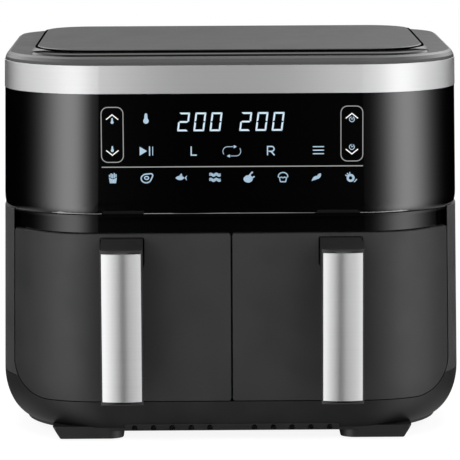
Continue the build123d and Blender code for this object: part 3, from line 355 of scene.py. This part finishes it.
class Marks:
    """Thin printed or lit shapes on the panel's flat front."""

    def __init__(self):
        self.mesh = bmesh.new()
        self.middle = (0.0, 0.0)
        self.size = 1.0

    def corner(self, x, z, depth):
        x = self.middle[0] + (x - self.middle[0]) * self.size + PRINT_X
        z = self.middle[1] + (z - self.middle[1]) * self.size + PRINT_Z
        return self.mesh.verts.new((x * MM, front_y + depth * MM, fascia_low.z + z * MM))

    def polygon(self, points):
        """Filled outline."""
        front = [self.corner(x, z, -MARK_PROUD) for x, z in points]
        back = [self.corner(x, z, MARK_SUNK) for x, z in points]
        self.mesh.faces.new(front)
        self.mesh.faces.new(list(reversed(back)))
        for i in range(len(points)):
            j = (i + 1) % len(points)
            self.mesh.faces.new((front[j], front[i], back[i], back[j]))

    def strip(self, points, width, closed=False):
        """Line of even width along points."""
        count = len(points)
        sides = []
        for i, point in enumerate(points):
            here = Vector(point)
            before = Vector(points[i - 1]) if closed or i else here
            after = Vector(points[(i + 1) % count]) if closed or i < count - 1 else here
            into = (here - before).normalized() if here != before else (after - here).normalized()
            out = (after - here).normalized() if after != here else into
            across = Vector((-(into + out).y, (into + out).x)).normalized()
            share = max(0.35, across.dot(Vector((-into.y, into.x))))
            reach = across * (width / 2 / share)
            pair = []
            for spot in (here + reach, here - reach):
                pair.append((self.corner(*spot, -MARK_PROUD), self.corner(*spot, MARK_SUNK)))
            sides.append(pair)
        for i in range(count if closed else count - 1):
            (left, left_back), (right, right_back) = sides[i]
            (far_left, far_left_back), (far_right, far_right_back) = sides[(i + 1) % count]
            self.mesh.faces.new((left, right, far_right, far_left))
            self.mesh.faces.new((left_back, far_left_back, far_right_back, right_back))
            self.mesh.faces.new((left, far_left, far_left_back, left_back))
            self.mesh.faces.new((right, right_back, far_right_back, far_right))
        if not closed:
            for end in (sides[0], sides[-1]):
                (left, left_back), (right, right_back) = end
                self.mesh.faces.new((left, left_back, right_back, right))

    def place(self, name, material, slot):
        bmesh.ops.recalc_face_normals(self.mesh, faces=self.mesh.faces)
        data = bpy.data.meshes.new(name)
        self.mesh.to_mesh(data)
        self.mesh.free()
        data.materials.append(material)
        piece = bpy.data.objects.new(name, data)
        bpy.context.scene.collection.objects.link(piece)
        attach(piece, "housing")
        return piece


def arc(x, z, radius, start, end, steps=10, squash=1.0):
    """Points along an arc, in degrees anticlockwise from the right."""
    turns = [radians(start + (end - start) * i / steps) for i in range(steps + 1)]
    return [(x + radius * cos(t), z + radius * squash * sin(t)) for t in turns]


def disc(x, z, radius, squash=1.0, steps=20):
    return arc(x, z, radius, 0, 360 * (steps - 1) / steps, steps - 1, squash)


def rounded_box(x, z, width, height, radius):
    """Closed outline of a rounded rectangle about its middle."""
    points = []
    for side_x, side_z, start in ((1, 1, 0), (-1, 1, 90), (-1, -1, 180), (1, -1, 270)):
        middle_x = x + side_x * (width / 2 - radius)
        middle_z = z + side_z * (height / 2 - radius)
        points += arc(middle_x, middle_z, radius, start, start + 90, 6)
    return points


def bar(x_low, x_high, z_low, z_high):
    return [(x_low, z_low), (x_high, z_low), (x_high, z_high), (x_low, z_high)]


def thermometer(marks, x, z_low, z_high, stem, bulb):
    """Bulb and stem as one outline."""
    marks.polygon(
        arc(x, z_low + bulb, bulb, 128, 412, 16) + arc(x, z_high - stem / 2, stem / 2, 0, 180, 8)
    )


# Keys at both ends of the panel: frames, chevrons and their small symbols
FRAME_X = 100.2
FRAME_MIDDLE = 68.7
FRAME_SIZE = (18.3, 46.2)
FRAME_CORNER = 5.4
CHEVRON_Z = (85.6, 51.5)
CHEVRON_REACH = 5.1
CHEVRON_RISE = 4.1
print_marks = Marks()
for side in (-1, 1):
    print_marks.strip(rounded_box(side * FRAME_X, FRAME_MIDDLE, *FRAME_SIZE, FRAME_CORNER), 0.75, closed=True)
print_marks.strip([(-109.3, 41.5), (109.5, 41.5)], 0.85)
# The printed frames and line glow by emission: their brightness is painted light, not print lit by the lamps.
print_marks.place("panel_frames_and_line", glowing_mark("print_grey_painted_glow", (0.34, 0.34, 0.34), 0.8, (0.4, 0.4, 0.4)), "white_plastic")

chevrons = Marks()
for side in (-1, 1):
    for apex, turn in zip(CHEVRON_Z, (-1, 1)):
        x, ends = side * FRAME_X, apex + turn * CHEVRON_RISE
        chevrons.strip([(x - CHEVRON_REACH, ends), (x, apex), (x + CHEVRON_REACH, ends)], 0.9)
# The printed chevrons glow by emission: their brightness is painted light, not print lit by the lamps.
chevrons.place("panel_chevrons", glowing_mark("print_white_painted_glow", (0.86, 0.85, 0.82), 1.0, (0.95, 0.94, 0.9)), "white_plastic")

symbols = Marks()
for z in (77.9, 54.3):
    thermometer(symbols, -FRAME_X, z, z + 5.0, 1.3, 1.3)
for z in (80.7, 57.4):
    symbols.strip(arc(FRAME_X, z, 2.1, 100, 430, 16), 0.6)
    symbols.strip([(FRAME_X - 0.2, z + 1.2), (FRAME_X - 0.1, z), (FRAME_X + 1.2, z + 0.5)], 0.5)
thermometer(symbols, -71.9, 77.9, 86.6, 2.3, 2.3)
symbols.polygon([(-77.4, 51.2), (-71.2, 54.9), (-77.4, 58.6)])
symbols.polygon(bar(-69.6, -68.6, 51.0, 58.9))
symbols.polygon(bar(-66.8, -66.2, 51.2, 58.7))
for step in range(3):
    z = 51.9 + 2.95 * step
    symbols.polygon(bar(67.5, 76.9, z - 0.42, z + 0.42))
# Two arrows chasing each other round a loop
for flip in (1, -1):
    loop = arc(-0.3 - flip * 3.6, 54.3, 3.9, 90 if flip > 0 else -90, 218 if flip > 0 else 38, 10)
    symbols.strip([(-0.3 + flip * 1.2, 54.3 + flip * 3.9)] + loop, 0.5)
    tip = (-0.3 + flip * 4.2, 54.3 + flip * 3.9)
    symbols.polygon([tip, (tip[0] - flip * 2.6, tip[1] + 1.4), (tip[0] - flip * 2.6, tip[1] - 1.4)])
# Letters for the two drawers
symbols.strip([(-34.3, 58.6), (-34.3, 51.3), (-29.6, 51.3)], 1.05)
symbols.strip([(29.6, 50.8), (29.6, 58.2), (33.1, 58.2)] + arc(33.1, 56.2, 2.0, 70, -90, 8) + [(30.4, 54.2)], 1.0)
symbols.strip([(32.6, 54.0), (35.4, 50.8)], 1.1)
symbols.place("panel_symbols", glowing_mark("symbol_blue", (0.38, 0.55, 0.7), 0.95, (0.48, 0.64, 0.77)), "white_plastic")

# Seven-segment figures
DIGIT_WIDTH = 9.0
DIGIT_HEIGHT = 15.7
SEGMENT = 1.45
DIGIT_PITCH = 13.55
DIGIT_LOW = 71.4
SLANT = 0.13
SEGMENT_GAP = 0.16
SEGMENTS = {"2": "abged", "0": "abcdef"}


def segment_outline(letter):
    """Corner points of one segment before the slant, from the digit's lower left."""
    half = DIGIT_HEIGHT / 2
    gap = SEGMENT_GAP
    inner = SEGMENT + gap
    if letter in "ad":
        edge = DIGIT_HEIGHT if letter == "a" else 0.0
        near = edge - SEGMENT if letter == "a" else edge + SEGMENT
        return [(gap, edge), (DIGIT_WIDTH - gap, edge), (DIGIT_WIDTH - inner, near), (inner, near)]
    if letter == "g":
        return [(inner, half - SEGMENT / 2), (DIGIT_WIDTH - inner, half - SEGMENT / 2),
                (DIGIT_WIDTH - gap - 0.5, half), (DIGIT_WIDTH - inner, half + SEGMENT / 2),
                (inner, half + SEGMENT / 2), (gap + 0.5, half)]
    low = half + gap if letter in "bf" else gap
    high = DIGIT_HEIGHT - gap if letter in "bf" else half - gap
    outer = DIGIT_WIDTH if letter in "bc" else 0.0
    inward = -SEGMENT if letter in "bc" else SEGMENT
    low_cut = SEGMENT if letter in "ce" else SEGMENT / 2
    high_cut = SEGMENT if letter in "bf" else SEGMENT / 2
    return [(outer, low), (outer, high), (outer + inward, high - high_cut), (outer + inward, low + low_cut)]


digits = Marks()
for start in (-46.0, 5.9):
    for place, figure in enumerate("200"):
        for letter in SEGMENTS[figure]:
            x = start + place * DIGIT_PITCH
            digits.polygon([(x + px + pz * SLANT, DIGIT_LOW + pz) for px, pz in segment_outline(letter)])
digits.place("panel_digits", glowing_mark("digit_light", (0.6, 0.76, 0.88), 1.0, (0.68, 0.83, 0.93)), "white_plastic")

# Row of plain food pictograms
ICON_Z = 32.1
ICON_FIRST = -100.0
ICON_PITCH = 28.5
ICON_SIZE = 0.9
icons = Marks()


def icon_x(place):
    return ICON_FIRST + place * ICON_PITCH


def fries(x, z):
    icons.polygon([(x - 3.7, z + 0.6), (x - 2.9, z - 4.6), (x + 2.9, z - 4.6), (x + 3.7, z + 0.6), (x, z - 0.9)])
    for offset, height in ((-3.7, 3.4), (-2.2, 4.6), (-0.7, 4.1), (0.8, 4.9), (2.3, 3.8)):
        icons.polygon(bar(x + offset, x + offset + 1.15, z + abs(offset + 0.6) * 0.4 - 0.2, z + height))


def steak(x, z):
    outline = arc(x - 0.7, z - 0.3, 4.7, 150, 330, 12, 0.86) + arc(x + 3.6, z + 2.4, 1.8, -30, 110, 6)
    icons.strip(outline + [(x - 2.2, z + 3.6)], 1.2, closed=True)
    icons.strip(disc(x - 0.3, z + 0.2, 1.9, 0.75, 14), 1.0, closed=True)


def fish(x, z):
    body = arc(x - 0.9, z - 3.4, 5.4, 140, 40, 10) + arc(x - 0.9, z + 3.4, 5.4, -40, -140, 10)
    icons.polygon(body)
    icons.polygon([(x + 3.2, z), (x + 5.7, z + 2.5), (x + 4.9, z), (x + 5.7, z - 2.5)])
    icons.polygon([(x - 1.6, z + 2.3), (x + 0.6, z + 4.3), (x + 1.4, z + 1.9)])


def bacon(x, z):
    for low in (-2.6, 2.2):
        for rise in (0.0, 1.5):
            wave = [(x - 5.2 + 0.8 * i, z + low + rise + 0.7 * sin(i * 0.98)) for i in range(14)]
            icons.strip(wave, 0.95 if rise else 1.25)


def chicken(x, z):
    icons.polygon(arc(x - 0.8, z - 1.3, 4.3, 160, 380, 14, 0.8) + [(x + 1.6, z + 2.2), (x - 2.6, z + 2.0)])
    icons.strip([(x + 0.2, z + 1.9), (x + 2.5, z + 4.6)], 1.3)
    icons.strip([(x + 2.6, z - 0.4), (x + 5.2, z + 1.0)], 1.3)
    icons.polygon(disc(x + 2.9, z + 4.7, 0.9, steps=10))


def muffin(x, z):
    icons.strip(arc(x, z + 0.9, 4.4, -14, 194, 16, 0.84), 1.0)
    icons.strip([(x - 4.1, z + 0.4), (x - 2.9, z - 0.5), (x - 1.4, z + 0.4), (x, z - 0.5), (x + 1.4, z + 0.4),
                 (x + 2.9, z - 0.5), (x + 4.1, z + 0.4)], 0.85)
    icons.strip([(x - 3.2, z - 0.9), (x - 2.4, z - 4.1), (x + 2.4, z - 4.1), (x + 3.2, z - 0.9)], 1.0)


def leaves(x, z):
    for shift_x, shift_z, turn in ((-1.6, -0.8, 30), (1.7, 0.9, 55)):
        side = arc(0, 0, 3.6, 205, 335, 8, 0.75)
        blade = [(px, pz + 1.1) for px, pz in side] + [(-px, -pz - 1.1) for px, pz in side]
        c, s = cos(radians(turn)), sin(radians(turn))
        icons.polygon([(x + shift_x + px * c - pz * s, z + shift_z + px * s + pz * c) for px, pz in blade])
    icons.strip([(x - 4.9, z - 3.3), (x - 2.6, z - 1.6)], 0.9)


def fruit_slice(x, z):
    icons.strip(disc(x - 0.4, z - 0.9, 2.7, steps=18), 2.1, closed=True)
    for turn in (100, 125, 150):
        tip = arc(x - 0.4, z - 0.9, 5.6, turn, turn, 1)[0]
        root = arc(x - 0.4, z - 0.9, 3.7, turn, turn, 1)[0]
        icons.strip([root, tip], 1.0)
    icons.strip(arc(x + 1.2, z - 0.6, 4.2, -70, -18, 6), 0.95)


for place, draw in enumerate((fries, steak, fish, bacon, chicken, muffin, leaves, fruit_slice)):
    icons.middle = (icon_x(place), ICON_Z)
    icons.size = ICON_SIZE
    draw(icon_x(place), ICON_Z)
icons.place("panel_food_icons", glowing_mark("icon_blue", (0.3, 0.45, 0.6), 0.95, (0.44, 0.6, 0.74)), "white_plastic")


# ---- Screws ----
def screw_head(name, place, outward, radius):
    """Domed head with a cross recess, its axis along outward."""
    mesh = bmesh.new()
    rings = ((1.0, 0.0), (1.0, 0.22), (0.86, 0.42), (0.55, 0.56), (0.0, 0.62))
    steps = 24
    loops = []
    for share, rise in rings[:-1]:
        circle = arc(0, 0, radius * share, 0, 360 * (steps - 1) / steps, steps - 1)
        loops.append([mesh.verts.new((x * MM, z * MM, rise * radius * MM * 0.8)) for x, z in circle])
    for low, high in zip(loops, loops[1:]):
        for i in range(steps):
            j = (i + 1) % steps
            mesh.faces.new((low[i], low[j], high[j], high[i]))
    mesh.faces.new(list(reversed(loops[0])))
    mesh.faces.new(loops[-1])
    data = bpy.data.meshes.new(name)
    mesh.to_mesh(data)
    mesh.free()
    for polygon in data.polygons:
        polygon.use_smooth = True
    head = bpy.data.objects.new(name, data)
    bpy.context.scene.collection.objects.link(head)
    cutter_mesh = bmesh.new()
    for turn in (0, 90):
        bmesh.ops.create_cube(
            cutter_mesh,
            size=1.0,
            matrix=Matrix.Rotation(radians(turn), 4, "Z")
            @ Matrix.Translation((0, 0, 0.5 * radius * MM))
            @ Matrix.Diagonal((1.15 * radius * MM, 0.24 * radius * MM, 0.5 * radius * MM, 1.0)),
        )
    cutter_data = bpy.data.meshes.new(name + "_recess")
    cutter_mesh.to_mesh(cutter_data)
    cutter_mesh.free()
    cutter = bpy.data.objects.new(name + "_recess", cutter_data)
    bpy.context.scene.collection.objects.link(cutter)
    cut = head.modifiers.new("recess", "BOOLEAN")
    cut.object = cutter
    cut.operation = "DIFFERENCE"
    cut.solver = "EXACT"
    cut.use_self = True
    bpy.context.view_layer.update()
    finished = bpy.data.meshes.new_from_object(head.evaluated_get(bpy.context.evaluated_depsgraph_get()))
    head.modifiers.clear()
    head.data = finished
    bpy.data.objects.remove(cutter)
    head.data.materials.clear()
    head.data.materials.append(screw_steel)
    head.rotation_mode = "QUATERNION"
    head.rotation_quaternion = Vector(outward).to_track_quat("Z", "Y")
    head.location = place
    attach(head, "housing")
    return head


screw_steel = brushed("screw_steel", (0.32, 0.32, 0.33), 0.35, (700.0, 700.0, 700.0), aniso=0.0)
base_low, base_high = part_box("base_plate")
SCREW_X = 40 * MM
SCREW_FROM_FRONT = 66 * MM
SCREW_FROM_BACK = 70 * MM
SCREW_RADIUS = 3.6
for side in (-1, 1):
    for row, y in enumerate((base_low.y + SCREW_FROM_FRONT, base_high.y - SCREW_FROM_BACK)):
        label = f"base_screw_{'left' if side < 0 else 'right'}_{row + 1}"
        screw_head(label, (side * SCREW_X, y, base_low.z), (0, 0, -1), SCREW_RADIUS)


# ---- Floor and studio ----
def card(name, corners, material):
    data = bpy.data.meshes.new(name)
    data.from_pydata(corners, [], [tuple(range(len(corners)))])
    data.materials.append(material)
    piece = bpy.data.objects.new(name, data)
    bpy.context.scene.collection.objects.link(piece)
    return piece


def empty_material(name):
    material = bpy.data.materials.new(name)
    material.use_nodes = True
    material.node_tree.nodes.clear()
    return material, material.node_tree


def floor_material():
    """Pale floor that takes the object's shadow close by and is as white as the backdrop further away."""
    material, tree = empty_material("floor_white")

    def made(kind, operation=None):
        node = tree.nodes.new(kind)
        if operation:
            node.operation = operation
        return node

    path = made("ShaderNodeLightPath")
    direct = made("ShaderNodeMath", "MAXIMUM")
    tree.links.new(path.outputs["Is Camera Ray"], direct.inputs[0])
    tree.links.new(path.outputs["Is Glossy Ray"], direct.inputs[1])
    seen = made("ShaderNodeMath", "MAXIMUM")
    tree.links.new(direct.outputs[0], seen.inputs[0])
    tree.links.new(path.outputs["Is Transmission Ray"], seen.inputs[1])
    place = made("ShaderNodeTexCoord")
    distance = made("ShaderNodeVectorMath", "LENGTH")
    tree.links.new(place.outputs["Object"], distance.inputs[0])
    far = made("ShaderNodeMapRange")
    far.interpolation_type = "SMOOTHSTEP"
    far.inputs["From Min"].default_value = WHITE_FROM
    far.inputs["From Max"].default_value = WHITE_TO
    tree.links.new(distance.outputs["Value"], far.inputs["Value"])
    away = made("ShaderNodeMath", "MULTIPLY")
    tree.links.new(far.outputs["Result"], away.inputs[0])
    tree.links.new(seen.outputs[0], away.inputs[1])
    near_surface = made("ShaderNodeBsdfDiffuse")
    paint = made("ShaderNodeMapRange")
    paint.inputs["To Min"].default_value = FLOOR_BOUNCE
    paint.inputs["To Max"].default_value = SHADOW_SHARE
    tree.links.new(seen.outputs[0], paint.inputs["Value"])
    tree.links.new(paint.outputs["Result"], near_surface.inputs["Color"])
    glow = made("ShaderNodeEmission")
    near_level = made("ShaderNodeMath", "MULTIPLY")
    near_level.inputs[1].default_value = FLOOR_GLOW
    tree.links.new(seen.outputs[0], near_level.inputs[0])
    tree.links.new(near_level.outputs[0], glow.inputs["Strength"])
    near = made("ShaderNodeAddShader")
    tree.links.new(near_surface.outputs[0], near.inputs[0])
    tree.links.new(glow.outputs[0], near.inputs[1])
    white = made("ShaderNodeEmission")
    mix = made("ShaderNodeMixShader")
    tree.links.new(away.outputs[0], mix.inputs["Fac"])
    tree.links.new(near.outputs[0], mix.inputs[1])
    tree.links.new(white.outputs[0], mix.inputs[2])
    output = made("ShaderNodeOutputMaterial")
    tree.links.new(mix.outputs[0], output.inputs["Surface"])
    return material


WHITE_FROM = 0.2  # distance from the middle where the floor starts to turn plain white
WHITE_TO = 0.42
FLOOR_BOUNCE = 0.35  # the floor's paint as other surfaces see it
FLOOR_GLOW = 0.9
SHADOW_SHARE = 0.17  # share of the floor's seen brightness that shadows can take away
FLOOR = 8.0
FLOOR_Z = -0.2 * MM  # just under the pads
corners = [(-FLOOR, -FLOOR, FLOOR_Z), (FLOOR, -FLOOR, FLOOR_Z), (FLOOR, FLOOR, FLOOR_Z), (-FLOOR, FLOOR, FLOOR_Z)]
card("floor", corners, floor_material())


def reflection_wall():
    """Studio wall that only glossy rays see: black cloth in front with two soft strips, pale cloth behind."""
    material, tree = empty_material("studio_wall")
    place = tree.nodes.new("ShaderNodeTexCoord").outputs["Object"]
    split = tree.nodes.new("ShaderNodeSeparateXYZ")
    tree.links.new(place, split.inputs[0])

    def math(operation, *inputs):
        made = tree.nodes.new("ShaderNodeMath")
        made.operation = operation
        for socket, value in zip(made.inputs, inputs):
            if isinstance(value, (int, float)):
                socket.default_value = value
            else:
                tree.links.new(value, socket)
        return made.outputs[0]

    def ramp(value, low, high):
        made = tree.nodes.new("ShaderNodeMapRange")
        made.interpolation_type = "SMOOTHSTEP"
        made.inputs["From Min"].default_value = low
        made.inputs["From Max"].default_value = high
        tree.links.new(value, made.inputs["Value"])
        return made.outputs["Result"]

    def azimuth_from(x, y):
        """Direction of the wall's point seen from a place in plan: 0 towards the camera, right positive."""
        sideways = math("SUBTRACT", split.outputs["X"], x)
        toward = math("SUBTRACT", y, split.outputs["Y"])
        return math("DIVIDE", math("ARCTAN2", sideways, toward), pi / 180)

    def falling(side, width, power):
        """Exponent of a soft edge: grows with the angle past the middle on one side."""
        return math("POWER", math("DIVIDE", math("MAXIMUM", side, 0.0), width), power)

    def fade(exponent):
        return math("EXPONENT", math("MULTIPLY", exponent, -1.0))

    azimuth = azimuth_from(0.0, 0.0)
    flat = math("SQRT", math("ADD", math("MULTIPLY", split.outputs["X"], split.outputs["X"]),
                             math("MULTIPLY", split.outputs["Y"], split.outputs["Y"])))
    height = math("DIVIDE", math("ARCTAN2", split.outputs["Z"], flat), pi / 180)
    strips = None
    for middle, left_width, left_power, right_width, right_power, bright in SOFT_STRIPS:
        side = 1 if middle > 0 else -1
        right_side = math("SUBTRACT", azimuth_from(side * CORNER_X, front_y), middle)
        left_side = math("MULTIPLY", right_side, -1.0)
        left_fall = falling(left_side, left_width, left_power)
        exponent = math("ADD", left_fall, falling(right_side, right_width, right_power))
        strip = math("MULTIPLY", fade(exponent), bright)
        strips = strip if strips is None else math("ADD", strips, strip)
    low_part = math("MULTIPLY", ramp(height, -60, -18), math("SUBTRACT", 1.0, ramp(height, 6, 20)))
    gap = fade(falling(math("ABSOLUTE", azimuth), GAP_WIDTH, 2.0))
    strips = math("MULTIPLY", strips, math("SUBTRACT", 1.0, gap))
    round_back = math("SUBTRACT", 1.0, ramp(math("ABSOLUTE", math("SUBTRACT", azimuth, 3.0)), 135, 175))
    upper = math("MULTIPLY", math("SUBTRACT", UPPER_LEVEL, math("MULTIPLY", strips, 1.05)), math("SUBTRACT", 1.0, gap))
    upper = math("MULTIPLY", math("MULTIPLY", upper, round_back), ramp(height, 6, 20))
    upper = math("MULTIPLY", upper, math("SUBTRACT", 1.0, ramp(height, 45, 75)))
    total = math("ADD", math("MULTIPLY", strips, low_part), upper)
    behind = math("MULTIPLY", ramp(math("ABSOLUTE", azimuth), 105, 135), ramp(height, 12, 34))
    total = math("ADD", total, math("MULTIPLY", behind, BACK_LEVEL))
    above = math("MULTIPLY", ramp(height, 48, 70), TOP_LEVEL)
    total = math("ADD", total, above)
    sides = math("MULTIPLY", ramp(math("ABSOLUTE", azimuth), 60, 100), math("SUBTRACT", 1.0, ramp(height, -34, -18)))
    total = math("ADD", total, math("MULTIPLY", sides, SIDE_LEVEL))
    glow = tree.nodes.new("ShaderNodeEmission")
    tree.links.new(total, glow.inputs["Strength"])
    output = tree.nodes.new("ShaderNodeOutputMaterial")
    tree.links.new(glow.outputs[0], output.inputs["Surface"])
    mesh = bmesh.new()
    bmesh.ops.create_uvsphere(mesh, u_segments=64, v_segments=32, radius=WALL_RADIUS)
    data = bpy.data.meshes.new("studio_wall")
    mesh.to_mesh(data)
    mesh.free()
    data.materials.append(material)
    wall = bpy.data.objects.new("studio_wall", data)
    wall.location = (0, 0, fascia_low.z)
    bpy.context.scene.collection.objects.link(wall)
    for ray in ("camera", "diffuse", "transmission", "volume_scatter", "shadow"):
        setattr(wall, f"visible_{ray}", False)


# Soft strips: azimuth of the middle, width and power of the fall to the left and to the right, brightness
SOFT_STRIPS = ((-37.0, 29.0, 2.0, 20.8, 2.4, 2.7), (56.0, 25.4, 2.1, 28.5, 2.0, 2.7))
CORNER_X = 0.147  # where the housing's corners show the strips
UPPER_LEVEL = 4.1
GAP_WIDTH = 6.0
BACK_LEVEL = 1.2
TOP_LEVEL = 0.4
SIDE_LEVEL = 0.5
WALL_RADIUS = 4.5
reflection_wall()
bpy.data.objects["floor"].visible_glossy = False


def low_light(name, x, width, near, far, glow):
    """Strip of light on the floor in front of the feet, for the line along the panel's rolled lower edge.

    It lights the fascia alone.
    """
    lamp = bpy.data.lights.new(name, "AREA")
    lamp.shape = "RECTANGLE"
    lamp.size, lamp.size_y = width, far - near
    lamp.energy = glow * width * (far - near)
    piece = bpy.data.objects.new(name, lamp)
    piece.location = (x, front_y - (near + far) / 2, 0.002)
    piece.rotation_euler = (pi, 0, 0)
    piece.visible_camera = False
    bpy.context.scene.collection.objects.link(piece)
    piece.light_linking.receiver_collection = lit_panel


lit_panel = bpy.data.collections.new("lit_panel")
lit_panel.objects.link(nodes["control_fascia"])
LOW_NEAR = 0.03  # the strips' edges, in front of the housing
LOW_FAR = 0.12
low_light("low_light_near", 0.0, 0.68, LOW_NEAR, LOW_FAR, 11.0)
low_light("low_light_right", 0.085, 0.16, LOW_NEAR, LOW_FAR, 7.0)


def softbox(name, place, aim, size, watts):
    """Area lamp that lights the object evenly; the studio wall gives the reflections."""
    lamp = bpy.data.lights.new(name, "AREA")
    lamp.shape = "RECTANGLE"
    lamp.size, lamp.size_y = size
    lamp.energy = watts
    piece = bpy.data.objects.new(name, lamp)
    piece.location = place
    piece.rotation_mode = "QUATERNION"
    piece.rotation_quaternion = (Vector(aim) - Vector(place)).to_track_quat("-Z", "Y")
    piece.visible_camera = False
    piece.visible_glossy = False
    bpy.context.scene.collection.objects.link(piece)


middle = Vector((0, 0, fascia_low.z))
softbox("left_softbox", (-1.5, -1.7, 1.3), middle, (1.2, 1.4), 26)
softbox("right_softbox", (1.5, -1.7, 1.3), middle, (1.2, 1.4), 26)
softbox("overhead_softbox", (0, 0.2, 2.4), middle, (2.2, 2.2), 42)
softbox("back_softbox", (0, 2.2, 1.4), middle, (1.8, 1.2), 16)

WORLD_FILL = 0.42  # the white world's level for diffuse rays
world = bpy.data.worlds.new("studio")
world.use_nodes = True
bpy.context.scene.world = world
tree = world.node_tree
background = tree.nodes["Background"]
background.inputs["Color"].default_value = (1, 1, 1, 1)
path = tree.nodes.new("ShaderNodeLightPath")
direct = tree.nodes.new("ShaderNodeMath")
direct.operation = "MAXIMUM"
tree.links.new(path.outputs["Is Camera Ray"], direct.inputs[0])
tree.links.new(path.outputs["Is Glossy Ray"], direct.inputs[1])
clear = tree.nodes.new("ShaderNodeMath")
clear.operation = "MAXIMUM"
tree.links.new(direct.outputs[0], clear.inputs[0])
tree.links.new(path.outputs["Is Transmission Ray"], clear.inputs[1])
strength = tree.nodes.new("ShaderNodeMapRange")
strength.inputs["To Min"].default_value = WORLD_FILL
strength.inputs["To Max"].default_value = 1.0
tree.links.new(clear.outputs[0], strength.inputs["Value"])
tree.links.new(strength.outputs["Result"], background.inputs["Strength"])

# ---- Camera ----
CAMERA_DISTANCE = 2.45  # in front of the housing's front
CAMERA_X = -0.024
CAMERA_Z = 0.5393
CAMERA_LENS = 230.7
CAMERA_DOWN = 8.3135  # degrees below the horizontal
CAMERA_ASIDE = 0.0276
CAMERA_ROLL = -0.27
tilt = radians(90 - CAMERA_DOWN)
turn = atan2(-CAMERA_X, CAMERA_DISTANCE) - radians(CAMERA_ASIDE)
roll = radians(CAMERA_ROLL)
camera_data = bpy.data.cameras.new("camera")
camera_data.lens = CAMERA_LENS
camera_data.sensor_width = 36
camera_data.clip_end = 40
camera = bpy.data.objects.new("camera", camera_data)
place = Matrix.Translation((CAMERA_X, front_y - CAMERA_DISTANCE, CAMERA_Z))
turned = Matrix.Rotation(-turn, 4, "Z") @ Matrix.Rotation(tilt, 4, "X") @ Matrix.Rotation(roll, 4, "Z")
camera.matrix_world = place @ turned
bpy.context.scene.collection.objects.link(camera)
bpy.context.scene.camera = camera

bpy.context.scene.view_settings.view_transform = "Standard"
